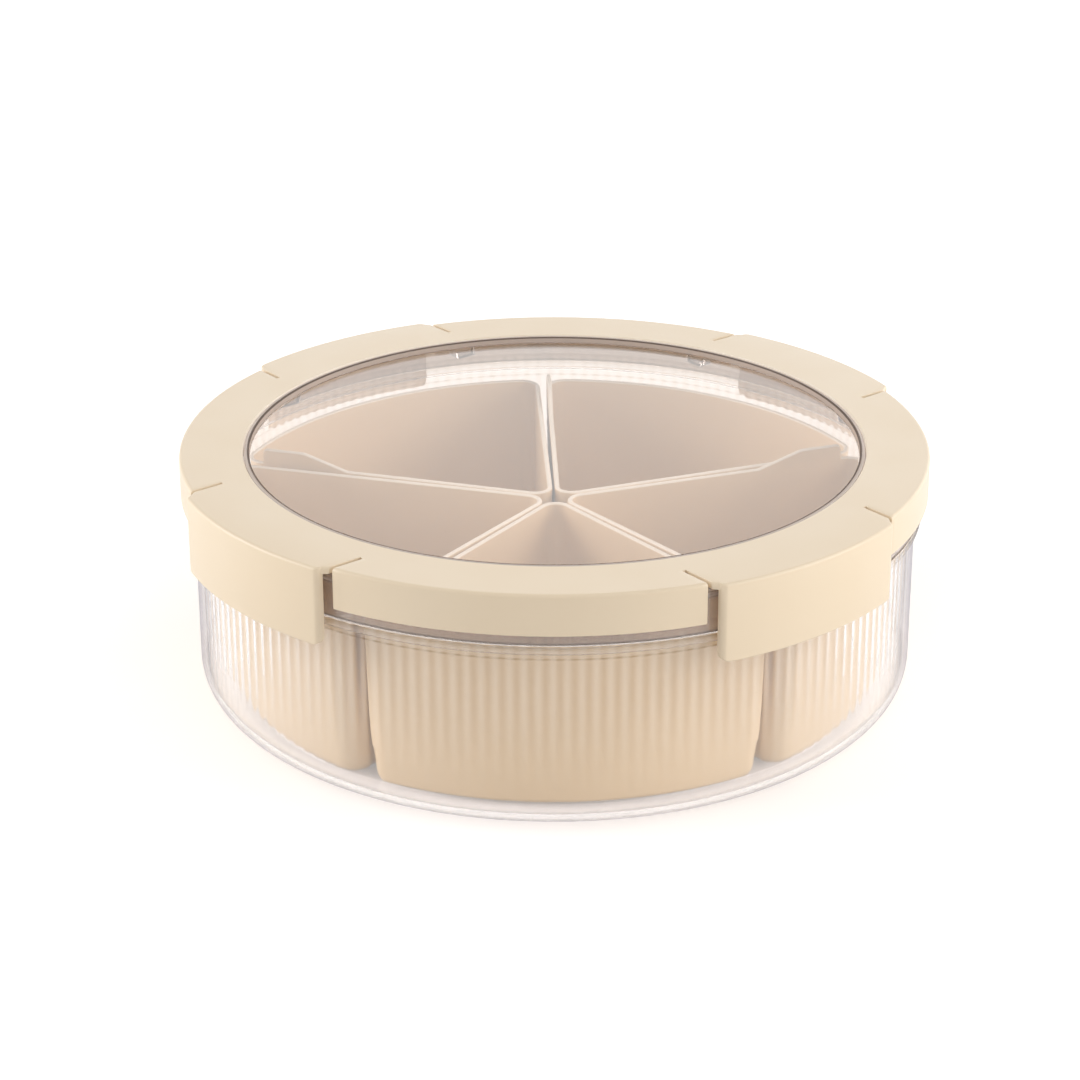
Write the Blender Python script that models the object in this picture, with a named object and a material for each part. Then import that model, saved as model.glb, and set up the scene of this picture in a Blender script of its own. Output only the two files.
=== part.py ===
"""Round divided nut tray: a clear bowl, five loose wedge boxes and a lid with four latches.

The tray stands on Z = 0 with its centre line on Z. The front fixed stretch of the lid ring faces -Y
and the four latches sit on the diagonals. All sizes are in metres.
"""

import math

import bmesh
import bpy
from mathutils import Matrix, Vector

MM = 0.001
TURN = 2.0 * math.pi
QUARTER = 0.5 * math.pi

# Overall size: the lid ring's outside, and the height from the floor to the ring's top
OUTER_RADIUS = 137.0 * MM
TOTAL_HEIGHT = 90.5 * MM

# Clearances, how far a cutter runs past what it cuts, and how near two points count as one
REST_GAP = 0.3 * MM
SIDE_GAP = 0.4 * MM
CUT_OVERRUN = 3.0 * MM
MERGE_DISTANCE = 0.001 * MM

# Facets round the tray and along a rounded corner
SEGMENTS = 72
CORNER_STEPS = 4
FILLET_STEPS = 3
SHARP_ANGLE = math.radians(30.0)

# Lid ring
RING_WIDTH = 23.0 * MM
RING_THICKNESS = 2.4 * MM
RING_FILLET = 1.2 * MM
SKIRT_WALL = 2.0 * MM
SKIRT_DEPTH = 14.8 * MM

# Latches: flaps between two straight slits, hinged on a chord near the slits' inner ends
LATCH_COUNT = 4
LATCH_HALF_WIDTH = 42.0 * MM
LATCH_HINGE_INSET = 4.4 * MM
LATCH_HINGE_GAP = 0.4 * MM
LATCH_SLIT = 0.8 * MM
LATCH_PROUD = 3.0 * MM
LATCH_WALL = 2.4 * MM
LATCH_DEPTH = 28.4 * MM
LATCH_END_SETBACK = 1.7 * MM
LATCH_END_STEP = 0.2 * MM
LATCH_PLAN_CORNER = 1.6 * MM
LATCH_LOWER_CORNER = 3.0 * MM
LATCH_BEAD_HEIGHT = 2.3 * MM
LATCH_BEAD_TIP_HEIGHT = 1.1 * MM
LATCH_STATIONS = 7

# Clear plate of the lid: disc, raised lip inside the ring, flange down to the bowl's ledge
PLATE_THICKNESS = 2.4 * MM
LIP_WIDTH = 1.4 * MM
LIP_SETBACK = 0.3 * MM
FLANGE_WALL = 1.7 * MM
FLANGE_DEPTH = 19.2 * MM
SEAL_RIB_WALL = 1.4 * MM
SEAL_RIB_DEPTH = 3.0 * MM

# Clips under the plate, one beside each slit's inner end
CLIP_WIDTH = 8.0 * MM
CLIP_LENGTH = 6.0 * MM
CLIP_DEPTH = 4.8 * MM
CLIP_SINK = 1.0 * MM
CLIP_INSET = 7.4 * MM

# Seal ring in the plate's groove
SEAL_THICKNESS = 1.6 * MM

# Bowl
BOWL_WALL = 2.3 * MM
BOWL_FLOOR = 2.4 * MM
BOWL_CORNER = 12.3 * MM
LEDGE_REACH = 0.2 * MM
LEDGE_THICKNESS = 3.1 * MM

# Wedge boxes
BOX_COUNT = 5
BOX_SET_TURN = math.radians(7.75)
BOX_SIDE_TAPER = math.radians(0.5)
BOX_SEAM_HALF_GAP = 0.3 * MM
BOX_PLAY = 5.5 * MM
BOX_RIM_DROP = 24.4 * MM
BOX_WALL = 1.9 * MM
BOX_FLOOR = 1.9 * MM
BOX_BACK_LEAN = 6.2 * MM
BOX_SIDE_DRAFT = 0.8 * MM
BOX_OUTER_CORNER = 8.0 * MM
BOX_APEX_CORNER = 6.5 * MM
BOX_FOOT_FILLET = 4.0 * MM
BOX_INNER_FILLET = 3.0 * MM
BOX_BACK_STEPS = 12

# Finger tab on each box's counter-clockwise side wall, measured in from the outer corner
TAB_HEIGHT = 5.5 * MM
TAB_END_GAP = 0.6 * MM
TAB_END_STEP = 0.3 * MM
TAB_LEVEL_LENGTH = 16.2 * MM
TAB_SLOPE_LENGTH = 17.4 * MM

# Places that follow from the sizes above, from the outside in and from the top down
FLANGE_OUTER_RADIUS = OUTER_RADIUS - SKIRT_WALL - SIDE_GAP
FLANGE_INNER_RADIUS = FLANGE_OUTER_RADIUS - FLANGE_WALL
BOWL_OUTER_RADIUS = FLANGE_INNER_RADIUS - SIDE_GAP
BOWL_INNER_RADIUS = BOWL_OUTER_RADIUS - BOWL_WALL
LEDGE_RADIUS = FLANGE_OUTER_RADIUS + LEDGE_REACH
RING_INNER_RADIUS = OUTER_RADIUS - RING_WIDTH
LATCH_OUTER_RADIUS = OUTER_RADIUS + LATCH_PROUD
LATCH_HINGE_REACH = RING_INNER_RADIUS + LATCH_HINGE_INSET
CLIP_REACH = LATCH_HINGE_REACH - CLIP_INSET
LIP_OUTER_RADIUS = RING_INNER_RADIUS - REST_GAP
SEAL_OUTER_RADIUS = BOWL_OUTER_RADIUS
SEAL_INNER_RADIUS = BOWL_INNER_RADIUS - BOWL_WALL
SEAL_RIB_RADIUS = SEAL_INNER_RADIUS - REST_GAP
BOX_RIM_RADIUS = BOWL_INNER_RADIUS - BOX_PLAY
RING_UNDERSIDE = TOTAL_HEIGHT - RING_THICKNESS
PLATE_TOP = RING_UNDERSIDE - REST_GAP
PLATE_UNDERSIDE = PLATE_TOP - PLATE_THICKNESS
FLANGE_BOTTOM = TOTAL_HEIGHT - FLANGE_DEPTH
LEDGE_TOP = FLANGE_BOTTOM - REST_GAP
LEDGE_BOTTOM = LEDGE_TOP - LEDGE_THICKNESS
SEAL_TOP = PLATE_UNDERSIDE - REST_GAP
SEAL_BOTTOM = SEAL_TOP - SEAL_THICKNESS
BOWL_RIM = SEAL_BOTTOM - REST_GAP
BOX_BOTTOM = BOWL_FLOOR + REST_GAP
BOX_HEIGHT = TOTAL_HEIGHT - BOX_RIM_DROP - BOX_BOTTOM
SECTOR = TURN / BOX_COUNT
LATCH_SKIRT_END = LATCH_HALF_WIDTH - 0.5 * LATCH_SLIT - LATCH_END_SETBACK

LATCH_NAMES = ("latch_front_right", "latch_back_right", "latch_back_left", "latch_front_left")


def clear_scene():
    """Remove whatever objects the scene starts with."""
    for old in list(bpy.data.objects):
        bpy.data.objects.remove(old, do_unlink=True)


def plastic(name, colour, roughness, transmission=0.0, alpha=1.0):
    """A plain moulded-plastic material with the given linear colour."""
    material = bpy.data.materials.new(name)
    material.use_nodes = True
    shader = material.node_tree.nodes["Principled BSDF"]
    shader.inputs["Base Color"].default_value = (*colour, 1.0)
    shader.inputs["Roughness"].default_value = roughness
    shader.inputs["Metallic"].default_value = 0.0
    shader.inputs["Transmission Weight"].default_value = transmission
    shader.inputs["Alpha"].default_value = alpha
    return material


def mesh_from(bm, name, material):
    """Turn a finished bmesh into a smooth-shaded mesh with outward faces."""
    bmesh.ops.recalc_face_normals(bm, faces=bm.faces)
    mesh = bpy.data.meshes.new(name)
    bm.to_mesh(mesh)
    bm.free()
    mesh.materials.append(material)
    mesh.shade_smooth()
    mesh.set_sharp_from_angle(angle=SHARP_ANGLE)
    return mesh


def add_object(name, mesh, parent=None, location=(0.0, 0.0, 0.0), turn=0.0):
    """Place a mesh in the scene, turned about Z."""
    item = bpy.data.objects.new(name, mesh)
    bpy.context.scene.collection.objects.link(item)
    item.parent = parent
    item.location = location
    item.rotation_euler = (0.0, 0.0, turn)
    return item


def add_cutter(name, bm, parent):
    """Place a guide body that only shapes its neighbour."""
    cutter = add_object(name, mesh_from(bm, name, bpy.data.materials["lid_plastic"]), parent)
    cutter.hide_render = True
    cutter.display_type = "WIRE"
    return cutter


def combine(target, guide, operation):
    """Cut, join or trim target with guide."""
    boolean = target.modifiers.new(guide.name, "BOOLEAN")
    boolean.operation = operation
    boolean.object = guide


def heading(azimuth):
    """Unit direction at an azimuth that starts at -Y and turns towards +X."""
    return Vector((math.sin(azimuth), -math.cos(azimuth), 0.0))


def arc(centre, radius, start, end, steps):
    """Points on an arc, both ends included."""
    angles = [start + (end - start) * i / steps for i in range(steps + 1)]
    return [(centre[0] + radius * math.cos(a), centre[1] + radius * math.sin(a)) for a in angles]


def lathe(profile, closed):
    """Turn (radius, height) points about Z; an open profile starts and ends on the axis."""
    bm = bmesh.new()
    verts = [bm.verts.new((radius, 0.0, height)) for radius, height in profile]
    edges = [bm.edges.new(pair) for pair in zip(verts, verts[1:])]
    if closed:
        edges.append(bm.edges.new((verts[-1], verts[0])))
    bmesh.ops.spin(
        bm,
        geom=verts + edges,
        axis=(0.0, 0.0, 1.0),
        cent=(0.0, 0.0, 0.0),
        angle=TURN,
        steps=SEGMENTS,
        use_merge=True,
    )
    bmesh.ops.remove_doubles(bm, verts=bm.verts, dist=MERGE_DISTANCE)
    return bm


def loft(rings):
    """Skin a row of closed outlines with equal point counts, and close both ends."""
    bm = bmesh.new()
    loops = []
    for ring in rings:
        verts = [bm.verts.new(point) for point in ring]
        loops.append([bm.edges.new(pair) for pair in zip(verts, verts[1:] + verts[:1])])
    for near, far in zip(loops, loops[1:]):
        bmesh.ops.bridge_loops(bm, edges=near + far)
    bmesh.ops.edgeloop_fill(bm, edges=loops[0])
    bmesh.ops.edgeloop_fill(bm, edges=loops[-1])
    return bm


def bowl_mesh(material):
    """Clear bowl: flat floor, round bottom corner, straight wall, ledge and sealing collar."""
    inner_corner = BOWL_CORNER - BOWL_WALL
    outside = arc(
        (BOWL_OUTER_RADIUS - BOWL_CORNER, BOWL_CORNER), BOWL_CORNER, -QUARTER, 0.0, CORNER_STEPS
    )
    inside = arc(
        (BOWL_INNER_RADIUS - inner_corner, BOWL_FLOOR + inner_corner),
        inner_corner,
        0.0,
        -QUARTER,
        CORNER_STEPS,
    )
    rim = [
        (BOWL_OUTER_RADIUS, LEDGE_BOTTOM),
        (LEDGE_RADIUS, LEDGE_BOTTOM),
        (LEDGE_RADIUS, LEDGE_TOP),
        (BOWL_OUTER_RADIUS, LEDGE_TOP),
        (BOWL_OUTER_RADIUS, BOWL_RIM),
        (BOWL_INNER_RADIUS, BOWL_RIM),
    ]
    profile = [(0.0, 0.0), *outside, *rim, *inside, (0.0, BOWL_FLOOR)]
    return mesh_from(lathe(profile, closed=False), "bowl", material)


def box_outline(height_share, inset):
    """Rounded wedge outline of a box, in plan, on its own centre line along +X.

    height_share runs from 0 at the foot to 1 at the rim. Every outline has the same points in the
    same order, so the rim's finger tab can be raised by index.
    """
    half_angle = 0.5 * SECTOR - BOX_SIDE_TAPER
    back = BOX_RIM_RADIUS - BOX_BACK_LEAN * (1.0 - height_share)
    side = BOX_SEAM_HALF_GAP + BOX_SIDE_DRAFT * (1.0 - height_share)
    corner = BOX_OUTER_CORNER - inset
    apex = BOX_APEX_CORNER - inset
    reach = math.sqrt((back - BOX_OUTER_CORNER) ** 2 - (side + BOX_OUTER_CORNER) ** 2)
    along = Vector((math.cos(half_angle), math.sin(half_angle)))
    out = Vector((-math.sin(half_angle), math.cos(half_angle)))
    centre = along * reach - out * (side + BOX_OUTER_CORNER)
    swing = math.atan2(centre.y, centre.x)
    out_angle = half_angle + QUARTER
    upper = arc(centre, corner, swing, out_angle, CORNER_STEPS)
    back_arc = arc((0.0, 0.0), back - inset, -swing, swing, BOX_BACK_STEPS)
    apex_x = (side + BOX_APEX_CORNER) / math.sin(half_angle)
    nose = arc((apex_x, 0.0), apex, out_angle, TURN - out_angle, CORNER_STEPS)
    lower = [(x, -y) for x, y in reversed(upper)]
    tab = [along * (reach - depth) - out * (side + inset) for depth in tab_depths()]
    return lower[:-1] + back_arc + upper[1:] + [tuple(point) for point in tab] + nose


def tab_depths():
    """Distances in from the outer corner at which the tab's edge changes direction."""
    end = TAB_END_GAP
    top = end + TAB_END_STEP
    slope = top + TAB_LEVEL_LENGTH
    return (end, top, slope, slope + TAB_SLOPE_LENGTH)


def tab_lifts():
    """How far each point of an outline is raised at the rim."""
    before = CORNER_STEPS + BOX_BACK_STEPS + 1 + CORNER_STEPS
    after = CORNER_STEPS + 1
    return [0.0] * before + [0.0, TAB_HEIGHT, TAB_HEIGHT, 0.0] + [0.0] * after


def box_ring(height, inset, lifts=None):
    """One outline of a box at a height above its foot."""
    outline = box_outline(height / BOX_HEIGHT, inset)
    raised = lifts or [0.0] * len(outline)
    return [(x, y, height + lift) for (x, y), lift in zip(outline, raised)]


def fillet_levels(foot, radius):
    """(height, extra inset) from the flat of a rounded foot up to where its wall starts."""
    angles = [QUARTER * i / FILLET_STEPS for i in range(FILLET_STEPS + 1)]
    return [(foot + radius * (1.0 - math.cos(a)), radius * (1.0 - math.sin(a))) for a in angles]


def box_mesh(material):
    """Wedge box: drafted thin walls, rounded foot and corners, and one raised finger tab."""
    outside = [box_ring(height, inset) for height, inset in fillet_levels(0.0, BOX_FOOT_FILLET)]
    inside = [
        box_ring(height, BOX_WALL + inset)
        for height, inset in fillet_levels(BOX_FLOOR, BOX_INNER_FILLET)
    ]
    rims = [
        box_ring(BOX_HEIGHT, 0.0, tab_lifts()),
        box_ring(BOX_HEIGHT, BOX_WALL, tab_lifts()),
    ]
    return mesh_from(loft(outside + rims + inside[::-1]), "box", material)


def ring_mesh(material):
    """Lid ring before its slits: flat top, rounded outer edge and short skirt."""
    edge = arc(
        (OUTER_RADIUS - RING_FILLET, TOTAL_HEIGHT - RING_FILLET),
        RING_FILLET,
        QUARTER,
        0.0,
        FILLET_STEPS,
    )
    skirt_inner = OUTER_RADIUS - SKIRT_WALL
    profile = [
        (RING_INNER_RADIUS, RING_UNDERSIDE),
        (RING_INNER_RADIUS, TOTAL_HEIGHT),
        *edge,
        (OUTER_RADIUS, TOTAL_HEIGHT - SKIRT_DEPTH),
        (skirt_inner, TOTAL_HEIGHT - SKIRT_DEPTH),
        (skirt_inner, RING_UNDERSIDE),
    ]
    return mesh_from(lathe(profile, closed=True), "lid_ring", material)


def latch_window():
    """Block that takes one latch's place out of the ring, straight slits included."""
    near = LATCH_HINGE_REACH - 0.5 * LATCH_HINGE_GAP
    far = LATCH_OUTER_RADIUS + CUT_OVERRUN
    width = 2.0 * LATCH_HALF_WIDTH + LATCH_SLIT
    depth = SKIRT_DEPTH + 2.0 * CUT_OVERRUN
    size = Matrix.Diagonal((far - near, width, depth, 1.0))
    middle = Vector((0.5 * (near + far), 0.0, TOTAL_HEIGHT + CUT_OVERRUN - 0.5 * depth))
    bm = bmesh.new()
    bmesh.ops.create_cube(bm, size=1.0, matrix=Matrix.Translation(middle) @ size)
    return bm


def latch_places():
    """Distances from the latch's centre line at which its section is drawn, one half only."""
    straight = LATCH_SKIRT_END - LATCH_LOWER_CORNER
    even = [straight * i / LATCH_STATIONS for i in range(LATCH_STATIONS + 1)]
    angles = [QUARTER * i / FILLET_STEPS for i in range(1, FILLET_STEPS + 1)]
    rounded = [straight + LATCH_LOWER_CORNER * math.sin(a) for a in angles]
    return even + rounded + [LATCH_SKIRT_END + LATCH_END_STEP, LATCH_SKIRT_END + LATCH_END_SETBACK]


def latch_reach(radius, side):
    """How far a circle round the tray lies from the hinge, beside the latch's centre line."""
    return math.sqrt(radius**2 - side**2) - LATCH_HINGE_REACH


def quarter_round(radius, into):
    """How far a rounded corner has fallen away at a distance into it."""
    return radius - math.sqrt(radius**2 - min(max(into, 0.0), radius) ** 2)


def latch_section(place):
    """The latch's section beside its centre line, as (reach, height) points from its hinge.

    Every section has the same number of points. Past the skirt's end only the flap is left, and
    the skirt's points lie along the flap's underside.
    """
    side = abs(place)
    into_plan_corner = side - (LATCH_SKIRT_END - LATCH_PLAN_CORNER)
    set_back = quarter_round(LATCH_PLAN_CORNER, into_plan_corner)
    set_back += max(0.0, into_plan_corner - LATCH_PLAN_CORNER)
    outer = latch_reach(LATCH_OUTER_RADIUS, side) - set_back
    inner = latch_reach(LATCH_OUTER_RADIUS - LATCH_WALL, side)
    tip = latch_reach(LEDGE_RADIUS + REST_GAP, side)
    near = 0.5 * LATCH_HINGE_GAP
    bottom = quarter_round(LATCH_LOWER_CORNER, side - (LATCH_SKIRT_END - LATCH_LOWER_CORNER))
    bottom -= LATCH_DEPTH
    bead_top = LEDGE_BOTTOM - REST_GAP - TOTAL_HEIGHT
    bead_bottom = bead_top - LATCH_BEAD_HEIGHT
    tip_margin = 0.5 * (LATCH_BEAD_HEIGHT - LATCH_BEAD_TIP_HEIGHT)
    skirt = [
        (outer, bottom),
        (inner, bottom),
        (inner, bead_bottom),
        (tip, bead_bottom + tip_margin),
        (tip, bead_top - tip_margin),
        (inner, bead_top),
        (inner, -RING_THICKNESS),
    ]
    if side > LATCH_SKIRT_END + 0.5 * LATCH_END_STEP:
        spacing = LATCH_WALL / len(skirt)
        skirt = [(outer - spacing * i, -RING_THICKNESS) for i in range(len(skirt))]
    edge = arc((outer - RING_FILLET, -RING_FILLET), RING_FILLET, QUARTER, 0.0, FILLET_STEPS)
    return [(near, 0.0), *edge, *skirt, (near, -RING_THICKNESS)]


def latch_mesh(material):
    """Latch flap with its deep skirt and snap bead; its hinge lies on the mesh's Y axis."""
    half = latch_places()
    places = [-place for place in reversed(half[1:])] + half
    rings = [[(x, place, z) for x, z in latch_section(place)] for place in places]
    return mesh_from(loft(rings), "latch", material)


def plate_mesh(material):
    """Clear plate of the lid: window disc, raised lip, seal rib and flange."""
    rib_inner = SEAL_RIB_RADIUS - SEAL_RIB_WALL
    rib_bottom = PLATE_UNDERSIDE - SEAL_RIB_DEPTH
    lip_inner = LIP_OUTER_RADIUS - LIP_WIDTH
    lip_top = TOTAL_HEIGHT - LIP_SETBACK
    profile = [
        (0.0, PLATE_UNDERSIDE),
        (rib_inner, PLATE_UNDERSIDE),
        (rib_inner, rib_bottom),
        (SEAL_RIB_RADIUS, rib_bottom),
        (SEAL_RIB_RADIUS, PLATE_UNDERSIDE),
        (FLANGE_INNER_RADIUS, PLATE_UNDERSIDE),
        (FLANGE_INNER_RADIUS, FLANGE_BOTTOM),
        (FLANGE_OUTER_RADIUS, FLANGE_BOTTOM),
        (FLANGE_OUTER_RADIUS, PLATE_TOP),
        (LIP_OUTER_RADIUS, PLATE_TOP),
        (LIP_OUTER_RADIUS, lip_top),
        (lip_inner, lip_top),
        (lip_inner, PLATE_TOP),
        (0.0, PLATE_TOP),
    ]
    return mesh_from(lathe(profile, closed=False), "lid_plate", material)


def clip_blocks():
    """The eight clips, each beside a slit's inner end and sunk into the plate's underside."""
    bm = bmesh.new()
    size = Matrix.Diagonal((CLIP_LENGTH, CLIP_WIDTH, CLIP_DEPTH + CLIP_SINK, 1.0))
    height = PLATE_UNDERSIDE + CLIP_SINK - 0.5 * (CLIP_DEPTH + CLIP_SINK)
    for azimuth in latch_azimuths():
        turn = Matrix.Rotation(azimuth - QUARTER, 4, "Z")
        for side in (-1.0, 1.0):
            place = Matrix.Translation((CLIP_REACH, side * LATCH_HALF_WIDTH, height))
            bmesh.ops.create_cube(bm, size=1.0, matrix=turn @ place @ size)
    return bm


def seal_mesh(material):
    """Soft ring between the bowl's rim and the plate."""
    profile = [
        (SEAL_INNER_RADIUS, SEAL_BOTTOM),
        (SEAL_OUTER_RADIUS, SEAL_BOTTOM),
        (SEAL_OUTER_RADIUS, SEAL_TOP),
        (SEAL_INNER_RADIUS, SEAL_TOP),
    ]
    return mesh_from(lathe(profile, closed=True), "seal_ring", material)


def latch_azimuths():
    """Azimuths of the latches' centre lines, on the diagonals."""
    return [TURN * (i + 0.5) / LATCH_COUNT for i in range(LATCH_COUNT)]


def build_boxes(material):
    """Five equal boxes round the centre, one of them just right of the front."""
    mesh = box_mesh(material)
    for i in range(BOX_COUNT):
        azimuth = BOX_SET_TURN + SECTOR * i
        add_object(f"box_{i + 1}", mesh, location=(0.0, 0.0, BOX_BOTTOM), turn=azimuth - QUARTER)


def build_lid(shell, clear, soft):
    """The lid: plate, ring, seal and latches, all carried by one empty that lifts."""
    lid = bpy.data.objects.new("lid_lift", None)
    bpy.context.scene.collection.objects.link(lid)
    plate = add_object("lid_plate", plate_mesh(clear), lid)
    combine(plate, add_cutter("clip_guides", clip_blocks(), lid), "UNION")
    ring = add_object("lid_ring", ring_mesh(shell), lid)
    add_object("seal_ring", seal_mesh(soft), lid)
    mesh = latch_mesh(shell)
    for name, azimuth in zip(LATCH_NAMES, latch_azimuths()):
        window = add_cutter(f"{name}_window", latch_window(), lid)
        window.rotation_euler = (0.0, 0.0, azimuth - QUARTER)
        combine(ring, window, "DIFFERENCE")
        hinge = heading(azimuth) * LATCH_HINGE_REACH + Vector((0.0, 0.0, TOTAL_HEIGHT))
        add_object(name, mesh, lid, hinge, azimuth - QUARTER)


def main():
    """Build the whole tray."""
    clear_scene()
    shell = plastic("lid_plastic", (0.84, 0.76, 0.63), 0.45)
    boxes = plastic("box_plastic", (0.76, 0.64, 0.48), 0.5)
    clear = plastic("clear_plastic", (0.93, 0.9, 0.9), 0.05, transmission=0.9, alpha=0.35)
    soft = plastic("seal_silicone", (0.85, 0.84, 0.82), 0.6)
    add_object("bowl", bowl_mesh(clear))
    build_boxes(boxes)
    build_lid(shell, clear, soft)


main()
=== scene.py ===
"""Looks of a round divided nut tray: a clear bowl, five wedge boxes and a lid with four latches.

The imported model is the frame: every piece here is built at its real place in metres, with +Z up, the
tray's centre line on Z and the front fixed stretch of the lid ring towards -Y.
"""

import logging
import math
from collections.abc import Callable, Sequence
from dataclasses import dataclass
from enum import Enum

import bmesh
import bpy
from mathutils import Matrix, Vector
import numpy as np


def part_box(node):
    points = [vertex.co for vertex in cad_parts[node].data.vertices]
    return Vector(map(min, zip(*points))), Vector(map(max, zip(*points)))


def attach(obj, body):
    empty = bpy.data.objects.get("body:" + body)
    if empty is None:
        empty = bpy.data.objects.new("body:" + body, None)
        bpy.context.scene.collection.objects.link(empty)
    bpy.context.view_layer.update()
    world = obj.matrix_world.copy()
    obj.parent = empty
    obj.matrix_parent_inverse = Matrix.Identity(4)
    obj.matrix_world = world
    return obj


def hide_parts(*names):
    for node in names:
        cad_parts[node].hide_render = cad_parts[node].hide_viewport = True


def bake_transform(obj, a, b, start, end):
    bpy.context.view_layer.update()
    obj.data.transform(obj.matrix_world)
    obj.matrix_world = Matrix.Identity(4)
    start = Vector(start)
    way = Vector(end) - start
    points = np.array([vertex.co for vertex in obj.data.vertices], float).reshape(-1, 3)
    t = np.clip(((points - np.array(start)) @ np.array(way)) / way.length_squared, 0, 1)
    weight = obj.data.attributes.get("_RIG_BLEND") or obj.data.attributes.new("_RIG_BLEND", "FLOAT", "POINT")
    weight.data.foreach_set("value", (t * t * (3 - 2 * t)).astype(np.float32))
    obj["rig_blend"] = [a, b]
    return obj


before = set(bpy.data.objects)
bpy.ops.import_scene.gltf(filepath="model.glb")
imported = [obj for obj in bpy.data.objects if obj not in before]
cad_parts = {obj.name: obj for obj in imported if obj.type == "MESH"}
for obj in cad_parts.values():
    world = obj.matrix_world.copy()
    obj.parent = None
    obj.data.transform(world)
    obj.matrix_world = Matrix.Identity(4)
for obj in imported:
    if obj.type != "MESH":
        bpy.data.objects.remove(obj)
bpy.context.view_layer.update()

LOG = logging.getLogger("nut_tray")

Point = tuple[float, float]
Corner = tuple[float, float, float]

# A millimetre in metres, and a whole and a quarter turn in radians
MM = 0.001
TURN = 2.0 * math.pi
QUARTER = 0.5 * math.pi

# Vertices nearer to each other than this are one
MERGE_DISTANCE = 0.001 * MM

# A full turn is one spun sector, doubled this many times
DOUBLINGS = 3

# A straight stretch of an outline past this length gets a point this near to each end
LONG_STRETCH = 4.0 * MM
GUARD = 0.2 * MM

# A rounded corner's chord length, and its least and most chords
CHORD = 0.3 * MM
LEAST_CHORDS = 3
MOST_CHORDS = 12

# Edges bent by more than this stay sharp
SHARP_ANGLE = math.radians(32.0)

# The part of each noise's values that is spread over the full range
FULL: Point = (0.0, 1.0)
DRIFT_RANGE: Point = (0.3, 0.7)
SHEEN_RANGE: Point = (0.35, 0.65)
MARK_RANGE: Point = (0.62, 0.78)
HAZE_RANGE: Point = (0.4, 0.7)

# How the wipe marks' noise is turned and drawn out into hairlines
MARK_TURN = math.radians(28.0)
MARK_STRETCH = (0.35, 14.0, 3.0)


class Quadrant(Enum):
    """Where a latch sits, with the azimuth of its centre line from -Y towards +X."""

    FRONT_RIGHT = math.radians(45.0)
    BACK_RIGHT = math.radians(135.0)
    BACK_LEFT = math.radians(225.0)
    FRONT_LEFT = math.radians(315.0)

    @property
    def label(self) -> str:
        """The quadrant's name as the pieces carry it."""
        return self.name.lower()


class Tone(Enum):
    """Linear colours of the plastics and the floor, and the tones of painted light and painted shade."""

    CREAM = (0.775, 0.64, 0.47)
    CREAM_DEEP = (0.755, 0.615, 0.44)
    BEIGE = (0.79, 0.605, 0.385)
    BEIGE_DEEP = (0.76, 0.575, 0.355)
    # Painted light: a lighter tone on thin walls, standing in for light that comes through them, and a
    # painted highlight on the boxes' rims
    LIT = (0.93, 0.84, 0.72)
    # Tint that the window lays on all that is seen through it, less green and less blue
    SMOKE = (0.96, 0.88, 0.815)
    WATER = (0.985, 0.975, 0.975)
    # Painted shade: darker tones mixed into the clear plastics where shade and shadow are seen through them
    GROOVE = (0.50, 0.38, 0.26)
    OUTLINE = (0.14, 0.105, 0.085)
    # Lit milky tone of the window's painted light, which also stands in for its lip's reflection
    MAUVE = (0.61, 0.52, 0.465)
    EDGE_GREY = (0.72, 0.71, 0.75)
    MILK = (0.86, 0.83, 0.80)
    # Lit milky tone of the bowl's painted light on the flutes' crowns and the ledge, and of its painted
    # sheen at a slant
    FROST = (0.95, 0.92, 0.915)
    PAPER = (0.93, 0.93, 0.93)
    WHITE = (1.0, 1.0, 1.0)

    @property
    def rgba(self) -> tuple[float, float, float, float]:
        """The colour with full opacity."""
        return (*self.value, 1.0)


def heading(azimuth: float) -> Vector:
    """Unit direction at an azimuth that starts at -Y and turns towards +X."""
    return Vector((math.sin(azimuth), -math.cos(azimuth), 0.0))


def arc(centre: Point, radius: float, start: float, end: float, steps: int) -> list[Point]:
    """Points on an arc.

    Args:
        centre: The arc's centre.
        radius: The arc's radius.
        start: Angle of the first point.
        end: Angle of the last point.
        steps: How many chords the arc is drawn with.

    Returns:
        steps + 1 points, both ends included.
    """
    angles = [start + (end - start) * i / steps for i in range(steps + 1)]
    return [(centre[0] + radius * math.cos(a), centre[1] + radius * math.sin(a)) for a in angles]


def brace(points: Sequence[Point], closed: bool) -> list[Point]:
    """Add a point close to both ends of each long straight stretch, so that it is shaded flat.

    Args:
        points: The outline.
        closed: Whether the last point joins the first.

    Returns:
        The outline with the added points.
    """
    ends = [*points[1:], points[0]]
    braced = []
    for index, (start, end) in enumerate(zip(points, ends)):
        braced.append(start)
        length = math.dist(start, end)
        if length < LONG_STRETCH or (index == len(points) - 1 and not closed):
            continue
        for share in (GUARD / length, 1.0 - GUARD / length):
            braced.append(tuple(a + (b - a) * share for a, b in zip(start, end)))
    return braced


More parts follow.
